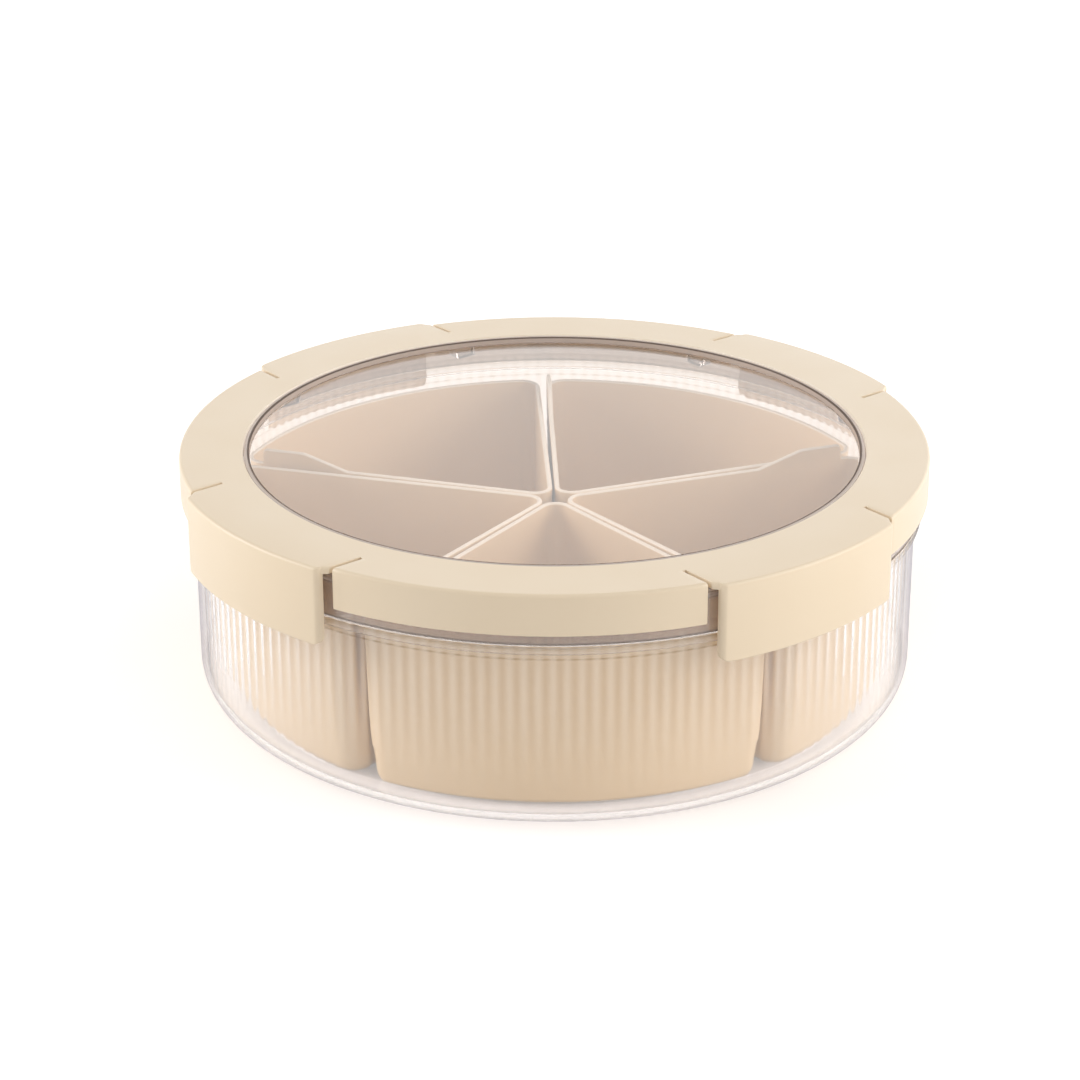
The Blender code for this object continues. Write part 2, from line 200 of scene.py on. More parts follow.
def rounded(corners: Sequence[Corner], closed: bool) -> list[Point]:
    """Round the corners of an outline.

    Args:
        corners: (x, y, radius) of each corner; a radius of 0 keeps the corner sharp.
        closed: Whether the last corner joins the first.

    Returns:
        The outline's points in the same order.
    """
    points: list[Point] = []
    count = len(corners)
    for i, (x, y, radius) in enumerate(corners):
        here = Vector((x, y))
        if radius == 0.0 or (not closed and i in (0, count - 1)):
            points.append((x, y))
            continue
        back = (Vector(corners[i - 1][:2]) - here).normalized()
        on = (Vector(corners[(i + 1) % count][:2]) - here).normalized()
        half = 0.5 * back.angle(on)
        centre = here + (back + on).normalized() * (radius / math.sin(half))
        first = here + back * (radius / math.tan(half)) - centre
        sweep = math.pi - 2.0 * half
        if back.cross(on) > 0.0:
            sweep = -sweep
        begin = math.atan2(first.y, first.x)
        steps = min(max(round(abs(sweep) * radius / CHORD), LEAST_CHORDS), MOST_CHORDS)
        points += arc((centre.x, centre.y), radius, begin, begin + sweep, steps)
    return points


def quarter_round(radius: float, into: float) -> float:
    """How far a rounded corner has fallen away at a distance into it."""
    return radius - math.sqrt(radius**2 - min(max(into, 0.0), radius) ** 2)


def ease(share: float) -> float:
    """Smooth step from 0 to 1."""
    share = min(max(share, 0.0), 1.0)
    return share * share * (3.0 - 2.0 * share)


def spin_outline(points: Sequence[Point], closed: bool, steps: int) -> bmesh.types.BMesh:
    """Turn (radius, height) points about Z.

    Args:
        points: The outline, which starts and ends on the axis if it is open.
        closed: Whether the outline is a loop.
        steps: How many stations the full turn has, a multiple of 2 ** DOUBLINGS.

    Returns:
        A closed body whose vertices carry their outline index in the int layer "row".
    """
    bm = bmesh.new()
    row = bm.verts.layers.int.new("row")
    verts = []
    for index, (radius, height) in enumerate(points):
        vert = bm.verts.new((radius, 0.0, height))
        vert[row] = index
        verts.append(vert)
    edges = [bm.edges.new(pair) for pair in zip(verts, verts[1:])]
    if closed:
        edges.append(bm.edges.new((verts[-1], verts[0])))
    sectors = 2**DOUBLINGS
    bmesh.ops.spin(
        bm,
        geom=verts + edges,
        axis=(0.0, 0.0, 1.0),
        cent=(0.0, 0.0, 0.0),
        angle=TURN / sectors,
        steps=steps // sectors,
    )
    for i in range(DOUBLINGS):
        copies = bmesh.ops.duplicate(bm, geom=bm.verts[:] + bm.edges[:] + bm.faces[:])["geom"]
        bmesh.ops.rotate(
            bm,
            verts=[item for item in copies if isinstance(item, bmesh.types.BMVert)],
            cent=(0.0, 0.0, 0.0),
            matrix=Matrix.Rotation(TURN / sectors * 2**i, 3, "Z"),
        )
    bmesh.ops.remove_doubles(bm, verts=bm.verts, dist=MERGE_DISTANCE)
    bmesh.ops.recalc_face_normals(bm, faces=bm.faces)
    return bm


def skin(rings: Sequence[Sequence[Sequence[float]]], margin: float = 0.0) -> bmesh.types.BMesh:
    """Bridge a row of closed outlines with equal point counts, and close both ends.

    Args:
        rings: The outlines, each a list of (x, y, z) points in matching order.
        margin: Width of the narrow border inside each end face, which keeps it shaded flat.

    Returns:
        A closed body.
    """
    bm = bmesh.new()
    loops = []
    for ring in rings:
        verts = [bm.verts.new(point) for point in ring]
        loops.append([bm.edges.new(pair) for pair in zip(verts, verts[1:] + verts[:1])])
    for near, far in zip(loops, loops[1:]):
        bmesh.ops.bridge_loops(bm, edges=near + far)
    ends = []
    for loop in (loops[0], loops[-1]):
        ends += bmesh.ops.edgeloop_fill(bm, edges=loop)["faces"]
    bmesh.ops.recalc_face_normals(bm, faces=bm.faces)
    if margin:
        bmesh.ops.inset_individual(bm, faces=ends, thickness=margin, use_even_offset=True)
    return bm


def mark(bm: bmesh.types.BMesh, name: str, share: Callable[[bmesh.types.BMVert], float]) -> None:
    """Write a share for every vertex to a float layer, which a material reads as an attribute.

    Args:
        bm: The bmesh that takes the layer.
        name: The layer's name.
        share: What gives each vertex its share.
    """
    layer = bm.verts.layers.float.new(name)
    for vert in bm.verts:
        vert[layer] = share(vert)


def off_axis(vert: bmesh.types.BMVert) -> float:
    """A vertex's distance from the tray's centre line."""
    return math.hypot(vert.co.x, vert.co.y)


def bevel(
    bm: bmesh.types.BMesh, edges: Sequence[bmesh.types.BMEdge], offset: float, segments: int
) -> dict[str, list]:
    """Round some edges of a bmesh.

    Args:
        bm: The body.
        edges: The edges to round.
        offset: How far from each edge the rounding starts.
        segments: How many chords it is drawn with.

    Returns:
        The new faces, edges and vertices.
    """
    return bmesh.ops.bevel(
        bm,
        geom=edges,
        offset=offset,
        offset_type="OFFSET",
        segments=segments,
        profile=0.5,
        affect="EDGES",
        material=-1,
        clamp_overlap=True,
    )


def shade(mesh: bpy.types.Mesh) -> None:
    """Shade a mesh smooth, apart from edges bent by more than SHARP_ANGLE."""
    mesh.shade_smooth()
    mesh.set_sharp_from_angle(angle=SHARP_ANGLE)


def finish_piece(bm: bmesh.types.BMesh, name: str, material: bpy.types.Material) -> bpy.types.Object:
    """Make an object of a finished bmesh.

    Args:
        bm: The body, which is freed.
        name: The object's name.
        material: Its finish.

    Returns:
        The object, at the origin.
    """
    mesh = bpy.data.meshes.new(name)
    bm.to_mesh(mesh)
    bm.free()
    mesh.materials.append(material)
    shade(mesh)
    item = bpy.data.objects.new(name, mesh)
    bpy.context.scene.collection.objects.link(item)
    LOG.info("%s: %d faces", name, len(mesh.polygons))
    return item


def merge_into(target: bpy.types.Object, guide: bpy.types.Object) -> None:
    """Join guide to target with a Boolean union, applied, and remove guide.

    Args:
        target: The object that grows.
        guide: The object that is joined to it.
    """
    boolean = target.modifiers.new("union", "BOOLEAN")
    boolean.operation = "UNION"
    boolean.object = guide
    graph = bpy.context.evaluated_depsgraph_get()
    merged = bpy.data.meshes.new_from_object(target.evaluated_get(graph))
    target.modifiers.remove(boolean)
    target.data = merged
    shade(merged)
    bpy.data.objects.remove(guide, do_unlink=True)


@dataclass(frozen=True)
class Datum:
    """Radii and heights that the pieces share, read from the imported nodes."""

    ring_radius: float
    ring_top: float
    skirt_bottom: float
    flange_radius: float
    flange_bottom: float
    lip_top: float
    ledge_radius: float
    bowl_rim: float
    seal_radius: float
    seal_bottom: float
    seal_top: float
    box_foot: float
    tab_top: float
    latch_bottom: float
    ledge_thickness: float = 3.1 * MM
    ledge_drop: float = 0.3 * MM

    @property
    def ledge_top(self) -> float:
        """Height of the bowl's ledge, just under the plate's flange."""
        return self.flange_bottom - self.ledge_drop

    @property
    def ledge_bottom(self) -> float:
        """Height of the ledge's underside."""
        return self.ledge_top - self.ledge_thickness

    @classmethod
    def from_frame(cls) -> "Datum":
        """Read the shared sizes from the nodes' boxes.

        Returns:
            The sizes that the pieces share.
        """
        ring_low, ring_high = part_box("lid_ring")
        plate_low, plate_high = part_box("lid_plate")
        bowl_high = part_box("bowl")[1]
        seal_low, seal_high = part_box("seal_ring")
        box_low, box_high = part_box("box_1")
        return cls(
            ring_radius=ring_high.x,
            ring_top=ring_high.z,
            skirt_bottom=ring_low.z,
            flange_radius=plate_high.x,
            flange_bottom=plate_low.z,
            lip_top=plate_high.z,
            ledge_radius=bowl_high.x,
            bowl_rim=bowl_high.z,
            seal_radius=seal_high.x,
            seal_bottom=seal_low.z,
            seal_top=seal_high.z,
            box_foot=box_low.z,
            tab_top=box_high.z,
            latch_bottom=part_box("latch_front_right")[0].z,
        )


class Wiring:
    """Short calls for the nodes of one material or node group."""

    def __init__(self, tree: bpy.types.NodeTree) -> None:
        """Work on a node tree."""
        self.tree = tree

    def add(self, kind: str, **values: object) -> bpy.types.Node:
        """Add a node.

        Args:
            kind: The node's type name without its ShaderNode prefix.
            **values: Properties, and unlinked input values by socket name with _ for a space.

        Returns:
            The node.
        """
        node = self.tree.nodes.new(f"ShaderNode{kind}")
        for key, value in values.items():
            socket = node.inputs.get(key.replace("_", " "))
            if socket is not None and not hasattr(node, key):
                socket.default_value = value
            else:
                setattr(node, key, value)
        return node

    def join(self, source: bpy.types.NodeSocket, target: bpy.types.NodeSocket) -> None:
        """Link an output to an input."""
        self.tree.links.new(source, target)

    def maths(self, operation: str, first: object, second: object = 0.0) -> bpy.types.NodeSocket:
        """One maths step.

        Args:
            operation: The Math node's operation.
            first: A socket or a number.
            second: A socket or a number.

        Returns:
            The result's socket.
        """
        node = self.add("Math", operation=operation)
        for socket, value in zip(node.inputs, (first, second)):
            if isinstance(value, bpy.types.NodeSocket):
                self.join(value, socket)
            else:
                socket.default_value = value
        return node.outputs[0]

    def tint(self, base: object, tone: Tone, share: bpy.types.NodeSocket) -> bpy.types.NodeSocket:
        """Mix a tone into a colour.

        Args:
            base: The colour's socket, or a tone.
            tone: The tone to mix in.
            share: How much of it, as a socket.

        Returns:
            The mixed colour's socket.
        """
        node = self.add("Mix", data_type="RGBA")
        if isinstance(base, Tone):
            node.inputs["A"].default_value = base.rgba
        else:
            self.join(base, node.inputs["A"])
        node.inputs["B"].default_value = tone.rgba
        self.join(share, node.inputs["Factor"])
        return node.outputs["Result"]

    def mix(
        self, share: bpy.types.NodeSocket, first: bpy.types.Node, second: bpy.types.Node
    ) -> bpy.types.Node:
        """Mix two shaders.

        Args:
            share: How much of the second one, as a socket.
            first: The first shader's node.
            second: The second shader's node.

        Returns:
            The mixing node.
        """
        node = self.add("MixShader")
        self.join(share, node.inputs["Fac"])
        self.join(first.outputs[0], node.inputs[1])
        self.join(second.outputs[0], node.inputs[2])
        return node

    def marked(self, name: str) -> bpy.types.NodeSocket:
        """A mesh attribute's value; 0 where the mesh has none."""
        return self.add("Attribute", attribute_name=name).outputs["Fac"]

    def ramp(self, value: bpy.types.NodeSocket, given: Point, made: Point) -> bpy.types.NodeSocket:
        """Map a value from one range to another, clamped.

        Args:
            value: The value's socket.
            given: The lowest and highest value that is read.
            made: What they become.

        Returns:
            The result's socket.
        """
        node = self.add("MapRange")
        self.join(value, node.inputs["Value"])
        for name, number in zip(("From Min", "From Max", "To Min", "To Max"), (*given, *made)):
            node.inputs[name].default_value = number
        return node.outputs["Result"]


def new_group(name: str, inputs: dict[str, float], outputs: Sequence[str]) -> tuple[Wiring, dict, dict]:
    """Start a shader node group with float sockets.

    Args:
        name: The group's name.
        inputs: Each input's name and default.
        outputs: Each output's name.

    Returns:
        The group's wiring, its input sockets by name and its output sockets by name.
    """
    tree = bpy.data.node_groups.new(name, "ShaderNodeTree")
    for label, default in inputs.items():
        socket = tree.interface.new_socket(label, in_out="INPUT", socket_type="NodeSocketFloat")
        socket.default_value = default
    for label in outputs:
        tree.interface.new_socket(label, in_out="OUTPUT", socket_type="NodeSocketFloat")
    wiring = Wiring(tree)
    entry = tree.nodes.new("NodeGroupInput")
    leave = tree.nodes.new("NodeGroupOutput")
    return wiring, {s.name: s for s in entry.outputs}, {s.name: s for s in leave.inputs}


def moulding_group() -> bpy.types.NodeTree:
    """Spark-eroded mould texture and slow colour drift of a satin moulding.

    Returns:
        A group that puts out the grain's height, the drift and the handling sheen, each 0 to 1.
    """
    wiring, given, made = new_group(
        "moulding_texture", {"Grain Scale": 2400.0, "Drift Scale": 14.0}, ("Grain", "Drift", "Sheen")
    )
    place = wiring.add("TexCoord").outputs["Object"]
    grain = wiring.add("TexNoise", Detail=3.0, Roughness=0.6)
    drift = wiring.add("TexNoise", Detail=2.0, Roughness=0.5)
    sheen = wiring.add("TexNoise", Scale=55.0, Detail=4.0, Roughness=0.65)
    for node in (grain, drift, sheen):
        wiring.join(place, node.inputs["Vector"])
    wiring.join(given["Grain Scale"], grain.inputs["Scale"])
    wiring.join(given["Drift Scale"], drift.inputs["Scale"])
    wiring.join(grain.outputs["Fac"], made["Grain"])
    wiring.join(wiring.ramp(drift.outputs["Fac"], DRIFT_RANGE, FULL), made["Drift"])
    wiring.join(wiring.ramp(sheen.outputs["Fac"], SHEEN_RANGE, FULL), made["Sheen"])
    return wiring.tree


def polish_group() -> bpy.types.NodeTree:
    """Slow waviness, hairline wipe marks and faint haze of a clear polished moulding.

    Returns:
        A group that puts out the wave's height, the wipe marks' height and the haze, each 0 to 1.
    """
    wiring, given, made = new_group(
        "polish_marks", {"Wave Scale": 26.0, "Mark Scale": 60.0}, ("Wave", "Marks", "Haze")
    )
    place = wiring.add("TexCoord").outputs["Object"]
    wave = wiring.add("TexNoise", Detail=1.0)
    haze = wiring.add("TexNoise", Scale=34.0, Detail=3.0)
    stretch = wiring.add("Mapping")
    stretch.inputs["Rotation"].default_value = (0.0, 0.0, MARK_TURN)
    stretch.inputs["Scale"].default_value = MARK_STRETCH
    marks = wiring.add("TexNoise", Detail=2.0, Roughness=0.55)
    wiring.join(place, wave.inputs["Vector"])
    wiring.join(place, haze.inputs["Vector"])
    wiring.join(place, stretch.inputs["Vector"])
    wiring.join(stretch.outputs["Vector"], marks.inputs["Vector"])
    wiring.join(given["Wave Scale"], wave.inputs["Scale"])
    wiring.join(given["Mark Scale"], marks.inputs["Scale"])
    wiring.join(wave.outputs["Fac"], made["Wave"])
    wiring.join(wiring.ramp(marks.outputs["Fac"], MARK_RANGE, FULL), made["Marks"])
    wiring.join(wiring.ramp(haze.outputs["Fac"], HAZE_RANGE, FULL), made["Haze"])
    return wiring.tree


def blank_material(name: str) -> tuple[bpy.types.Material, Wiring, bpy.types.Node]:
    """A new material with only its output.

    Args:
        name: The material's name.

    Returns:
        The material, its wiring and its output node.
    """
    material = bpy.data.materials.new(name)
    material.use_nodes = True
    material.node_tree.nodes.clear()
    wiring = Wiring(material.node_tree)
    return material, wiring, wiring.add("OutputMaterial")


@dataclass(frozen=True)
class SatinMoulding:
    """Satin-moulded plastic; the attribute "lit" marks painted light: a lighter tone on thin walls,
    standing in for light that comes through them, and a painted highlight along the boxes' rolled rims.
    """

    name: str
    tone: Tone
    deep_tone: Tone
    roughness: float
    grain_scale: float
    grain_depth: float
    sheen: float
    sheen_roughness: float = 0.4
    wear: float = 0.03
    ior: float = 1.5
    grain_strength: float = 0.35
    painted_light_tone: Tone = Tone.LIT

    def make(self, texture: bpy.types.NodeTree) -> bpy.types.Material:
        """Build the material.

        Args:
            texture: The shared moulding texture group.

        Returns:
            The material.
        """
        material, wiring, output = blank_material(self.name)
        shader = wiring.add("BsdfPrincipled", IOR=self.ior)
        shader.inputs["Sheen Weight"].default_value = self.sheen
        shader.inputs["Sheen Roughness"].default_value = self.sheen_roughness
        group = wiring.add("Group", node_tree=texture)
        group.inputs["Grain Scale"].default_value = self.grain_scale
        colour = wiring.tint(self.tone, self.deep_tone, group.outputs["Drift"])
        # Painted light: the lighter tone mixed in where the mesh marks thin walls and the boxes' rims
        colour = wiring.tint(colour, self.painted_light_tone, wiring.marked("lit"))
        bump = wiring.add("Bump", Strength=self.grain_strength)
        bump.inputs["Distance"].default_value = self.grain_depth
        sheen = wiring.ramp(
            group.outputs["Sheen"], FULL, (self.roughness - self.wear, self.roughness + self.wear)
        )
        wiring.join(colour, shader.inputs["Base Color"])
        wiring.join(sheen, shader.inputs["Roughness"])
        wiring.join(group.outputs["Grain"], bump.inputs["Height"])
        wiring.join(bump.outputs["Normal"], shader.inputs["Normal"])
        wiring.join(shader.outputs[0], output.inputs["Surface"])
        return material


@dataclass(frozen=True)
class ClearMoulding:
    """Clear plastic that refracts what is seen, and lets all other light straight through.

    Light that has been mirrored inside a wall leaves it straight too, so the flutes catch the white of
    the room instead of holding rays until they go black. One attribute marks painted shade: darker lines
    and patches that stand in for shade and shadow seen through the plastic. Another marks painted light:
    a lit milky share that stands in for light caught in the flutes and for the lip's reflection. A wall
    seen at a slant takes a thin painted sheen, and its outline turns grey.
    """

    name: str
    tone: Tone
    roughness: float
    wave_depth: float
    wave_strength: float = 0.5
    ior: float = 1.53
    # Below: the tone of the painted shade, the edge's grey, the range and most of the painted sheen at a
    # slant, and the tone and most of the painted light
    painted_shade_tone: Tone = Tone.GROOVE
    edge_tone: Tone = Tone.EDGE_GREY
    edge_range: Point = (0.6, 0.92)
    edge_most: float = 0.0
    painted_sheen_range: Point = (0.13, 0.36)
    painted_sheen_most: float = 0.0
    mark_roughness: float = 0.05
    passing: Tone = Tone.WATER
    painted_light_milk_tone: Tone = Tone.WHITE
    painted_light_milk_most: float = 0.0

    def make(self, marks: bpy.types.NodeTree) -> bpy.types.Material:
        """Build the material.

        Args:
            marks: The shared polish group.

        Returns:
            The material.
        """
        material, wiring, output = blank_material(self.name)
        shader = wiring.add("BsdfPrincipled", IOR=self.ior)
        shader.inputs["Transmission Weight"].default_value = 1.0
        # Painted shade: the darker tone mixed into the base colour where the mesh marks it
        groove = wiring.marked("groove")
        wiring.join(wiring.tint(self.tone, self.painted_shade_tone, groove), shader.inputs["Base Color"])
        group = wiring.add("Group", node_tree=marks)
        haze = wiring.ramp(group.outputs["Haze"], FULL, (self.roughness, 2.0 * self.roughness))
        scored = wiring.ramp(group.outputs["Marks"], FULL, (0.0, self.mark_roughness))
        wave = wiring.add("Bump", Strength=self.wave_strength)
        wave.inputs["Distance"].default_value = self.wave_depth
        wiring.join(group.outputs["Wave"], wave.inputs["Height"])
        wiring.join(wave.outputs["Normal"], shader.inputs["Normal"])
        wiring.join(wiring.maths("ADD", haze, scored), shader.inputs["Roughness"])
        through = wiring.add("BsdfTransparent")
        facing = wiring.add("LayerWeight", Blend=0.5).outputs["Facing"]
        edge = wiring.ramp(facing, self.edge_range, (0.0, self.edge_most))
        wiring.join(wiring.tint(self.passing, self.edge_tone, edge), through.inputs["Color"])
        path = wiring.add("LightPath")
        straight = wiring.maths(
            "MAXIMUM", path.outputs["Is Shadow Ray"], path.outputs["Is Diffuse Ray"]
        )
        straight = wiring.maths("MAXIMUM", straight, path.outputs["Is Reflection Ray"])
        straight = wiring.maths("MAXIMUM", straight, edge)
        # Painted light: a lit diffuse share in place of clear plastic where the mesh marks it, darkened
        # where painted shade is marked
        painted_light_diffuse = wiring.add("BsdfDiffuse")
        wiring.join(wiring.tint(self.painted_light_milk_tone, self.painted_shade_tone, groove), painted_light_diffuse.inputs["Color"])
        # Painted sheen: more of the lit diffuse share where a wall is seen at a slant
        painted_sheen = wiring.ramp(facing, self.painted_sheen_range, (0.0, self.painted_sheen_most))
        painted_light_marked = wiring.maths("MULTIPLY", wiring.marked("milky"), self.painted_light_milk_most)
        milky = wiring.mix(wiring.maths("ADD", painted_light_marked, painted_sheen), shader, painted_light_diffuse)
        wiring.join(wiring.mix(straight, milky, through).outputs[0], output.inputs["Surface"])
        return material


@dataclass(frozen=True)
class Finishes:
    """Every finish of the tray, made once."""

    cream: bpy.types.Material
    beige: bpy.types.Material
    window: bpy.types.Material
    bowl: bpy.types.Material
    seal: bpy.types.Material

    @classmethod
    def make(cls) -> "Finishes":
        """Build the shared groups and the materials.

        Returns:
            The finishes, one material each.
        """
        texture = moulding_group()
        marks = polish_group()
        return cls(
            cream=SatinMoulding(
                "cream_satin",
                Tone.CREAM,
                Tone.CREAM_DEEP,
                roughness=0.4,
                grain_scale=2400.0,
                grain_depth=0.03 * MM,
                sheen=0.3,
            ).make(texture),
            beige=SatinMoulding(
                "beige_satin",
                Tone.BEIGE,
                Tone.BEIGE_DEEP,
                roughness=0.45,
                grain_scale=2000.0,
                grain_depth=0.03 * MM,
                sheen=0.1,
            ).make(texture),
            window=ClearMoulding(
                "window_clear",
                Tone.SMOKE,
                roughness=0.012,
                wave_depth=0.02 * MM,
                # The window's painted shade is near black, and its painted light mauve
                painted_shade_tone=Tone.OUTLINE,
                painted_light_milk_tone=Tone.MAUVE,
                painted_light_milk_most=0.8,
            ).make(marks),
            bowl=ClearMoulding(
                "bowl_clear",
                Tone.WATER,
                roughness=0.05,
                wave_depth=0.03 * MM,
                # The bowl's outline turns grey; it takes a painted sheen at a slant and white painted light
                # where marked
                edge_most=0.9,
                painted_sheen_most=0.12,
                painted_light_milk_tone=Tone.FROST,
                painted_light_milk_most=0.5,
            ).make(marks),
            seal=ClearMoulding("seal_milky", Tone.MILK, roughness=0.22, wave_depth=0.02 * MM).make(marks),
        )


@dataclass
class Bowl:
    """Clear outer bowl: recessed underside, round corner, fluted wall, ledge and collar."""

    datum: Datum
    finishes: Finishes
    wall: float = 2.3 * MM
    floor: float = 2.4 * MM
    corner: float = 12.3 * MM
    ledge_reach: float = 2.3 * MM
    edge: float = 0.6 * MM
    rim_steps: int = 3
    foot_width: float = 5.0 * MM
    foot_recess: float = 0.6 * MM
    flute_count: int = 172
    flute_steps: int = 6
    ledge_edge: float = 0.35 * MM
    flute_depth: float = 0.26 * MM
    flute_rise: float = 7.0 * MM
    flute_dome: float = 2.4 * MM
    flute_low: float = 12.5 * MM
    flute_low_fade: float = 40.0 * MM
    fade_rows: int = 5
    # Below: shares of painted shade in the flutes' valleys, on the collar, at the ledge's edges and on the
    # broken line under the ledge, a painted shadow; and shares of painted light, a lit milky share, on the
    # crowns and the ledge
    valley_share: float = 0.5
    collar_share: float = 0.15
    flute_painted_light: float = 0.26
    ledge_painted_light: float = 0.25
    ledge_share: float = 0.8
    line_share: float = 1.0
    line_wave: float = 0.3
    line_drop: float = 2.6 * MM
    line_half: float = 0.6 * MM

    @property
    def inner(self) -> float:
        """Radius of the inner wall."""
        return self.datum.ledge_radius - self.ledge_reach - self.wall

    @property
    def flute_top(self) -> float:
        """Height at which the flutes end, behind the flange of the lid's plate."""
        return self.datum.ledge_bottom + self.flute_rise

    @property
    def line_height(self) -> float:
        """Height of the broken dark line on the wall under the ledge, a painted shadow."""
        return self.datum.ledge_bottom - self.line_drop

    def outline(self) -> list[Point]:
        """The bowl's section, from the axis under the floor round to the axis over it.

        Returns:
            (radius, height) of each point.
        """
        outer = self.datum.ledge_radius - self.ledge_reach
        inner = self.inner
        ledge_bottom = self.datum.ledge_bottom
        ledge_top = self.datum.ledge_top
        inner_corner = self.corner - self.wall
        recess = outer - self.corner - self.foot_width
        rim = self.datum.bowl_rim
        outside = rounded(
            [
                (0.0, self.foot_recess, 0.0),
                (recess, self.foot_recess, self.edge),
                (recess + self.edge, 0.0, self.edge),
                (outer, 0.0, self.corner),
                (outer, self.line_height - self.line_half, 0.0),
                (outer, self.line_height, 0.0),
                (outer, self.line_height + self.line_half, 0.0),
                (outer, ledge_bottom, self.edge),
                (self.datum.ledge_radius, ledge_bottom, self.ledge_edge),
                (self.datum.ledge_radius, ledge_bottom + 2.0 * self.ledge_edge, 0.0),
                (self.datum.ledge_radius, ledge_top, self.ledge_edge),
                (outer, ledge_top, self.edge),
                (outer, rim, self.edge),
                (inner, rim, 0.0),
            ],
            closed=False,
        )
        rim_round = arc((inner + self.edge, rim - self.edge), self.edge, QUARTER, math.pi, self.rim_steps)
        wall = [(inner, height) for height in self.flute_heights()]
        bend = (inner - inner_corner, self.floor + inner_corner)
        inside = arc(bend, inner_corner, 0.0, -QUARTER, MOST_CHORDS)
        return brace(outside[:-1] + rim_round + wall + inside[1:] + [(0.0, self.floor)], closed=False)

    def flute_heights(self) -> list[float]:
        """Heights of the inner wall's rows, from the flutes' domed tops down to the round corner.

        Returns:
            The heights, the highest first.
        """
        shares = [math.sin(QUARTER * i / self.fade_rows) for i in range(self.fade_rows + 1)]
        upper = [self.flute_top - self.flute_dome * (1.0 - share) for share in reversed(shares)]
        lower = [self.flute_low + self.flute_low_fade * share for share in reversed(shares)]
        return upper + lower

    def flute_crown(self, turn: float, height: float) -> float:
        """How far a flute stands in, as a share of its depth.

        Args:
            turn: The place across one flute, 0 to 1.
            height: The height on the wall.

        Returns:
            1 on the crown and 0 in the valleys and above the domed top.
        """
        across = 2.0 * turn - 1.0
        wave = 0.5 + 0.5 * math.cos(math.pi * across)
        return max(0.0, wave - self.dome_share(height) ** 2)

    def dome_share(self, height: float) -> float:
        """0 on a flute's straight part, rising to 1 at its domed top."""
        return max(0.0, 1.0 - (self.flute_top - height) / self.flute_dome)

    def flute_fade(self, height: float) -> float:
        """How much of the flutes is left above the round corner."""
        return ease((height - self.flute_low) / self.flute_low_fade)

    def plain_share(self, vert: bmesh.types.BMVert) -> float:
        """How much painted shade a vertex off the flutes takes.

        Args:
            vert: The vertex.

        Returns:
            Most at the ledge's edges and on the broken line under it, a painted shadow; a little on the
            collar.
        """
        height = vert.co.z
        if self.on_ledge(vert):
            low = height < self.datum.ledge_bottom + self.ledge_edge + MERGE_DISTANCE
            return self.ledge_share if low or height > self.datum.ledge_top - self.ledge_edge else 0.0
        if abs(height - self.line_height) < MERGE_DISTANCE:
            wave = math.cos(math.atan2(vert.co.y, vert.co.x) * self.flute_count)
            return self.line_share * (1.0 - self.line_wave + self.line_wave * wave)
        return self.collar_share if height > self.datum.ledge_bottom else 0.0

    def on_ledge(self, vert: bmesh.types.BMVert) -> bool:
        """Whether a vertex lies on the ledge's outer face."""
        return off_axis(vert) > self.inner + self.wall + self.edge

    def cut_flutes(self, bm: bmesh.types.BMesh) -> None:
        """Raise the flutes; mark painted shade in their valleys, and painted light on their crowns and the
        ledge.

        Args:
            bm: The bowl's bmesh, still smooth.
        """
        bm.verts.layers.float.new("groove")
        bm.verts.layers.float.new("milky")
        groove = bm.verts.layers.float["groove"]
        milky = bm.verts.layers.float["milky"]
        for vert in bm.verts:
            radius = off_axis(vert)
            if vert.co.z > self.flute_top + MERGE_DISTANCE or radius > self.inner + MERGE_DISTANCE:
                # Off the flutes: painted shade at the ledge's edges, on the broken line and the collar, and
                # painted light on the ledge
                vert[groove] = self.plain_share(vert)
                vert[milky] = self.ledge_painted_light if self.on_ledge(vert) else 0.0
                continue
            if abs(radius - self.inner) > MERGE_DISTANCE:
                continue
            turn = (math.atan2(vert.co.y, vert.co.x) / TURN * self.flute_count) % 1.0
            crown = self.flute_crown(turn, vert.co.z)
            fade = self.flute_fade(vert.co.z)
            # On the flutes: painted shade in the valleys and towards the domed tops, painted light on the
            # crowns
            share = self.valley_share + (1.0 - self.valley_share) * self.dome_share(vert.co.z)
            vert[groove] = share * (1.0 - crown) * fade
            vert[milky] = self.flute_painted_light * crown * fade
            scale = 1.0 - self.flute_depth * crown * fade / radius
            vert.co.x *= scale
            vert.co.y *= scale

    def build(self) -> bpy.types.Object:
        """Build the bowl and hang it on its body.

        Returns:
            The finished piece.
        """
        bm = spin_outline(self.outline(), closed=False, steps=self.flute_count * self.flute_steps)
        self.cut_flutes(bm)
        piece = finish_piece(bm, "clear_bowl", self.finishes.bowl)
        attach(piece, "bowl")
        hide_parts("bowl")
        return piece


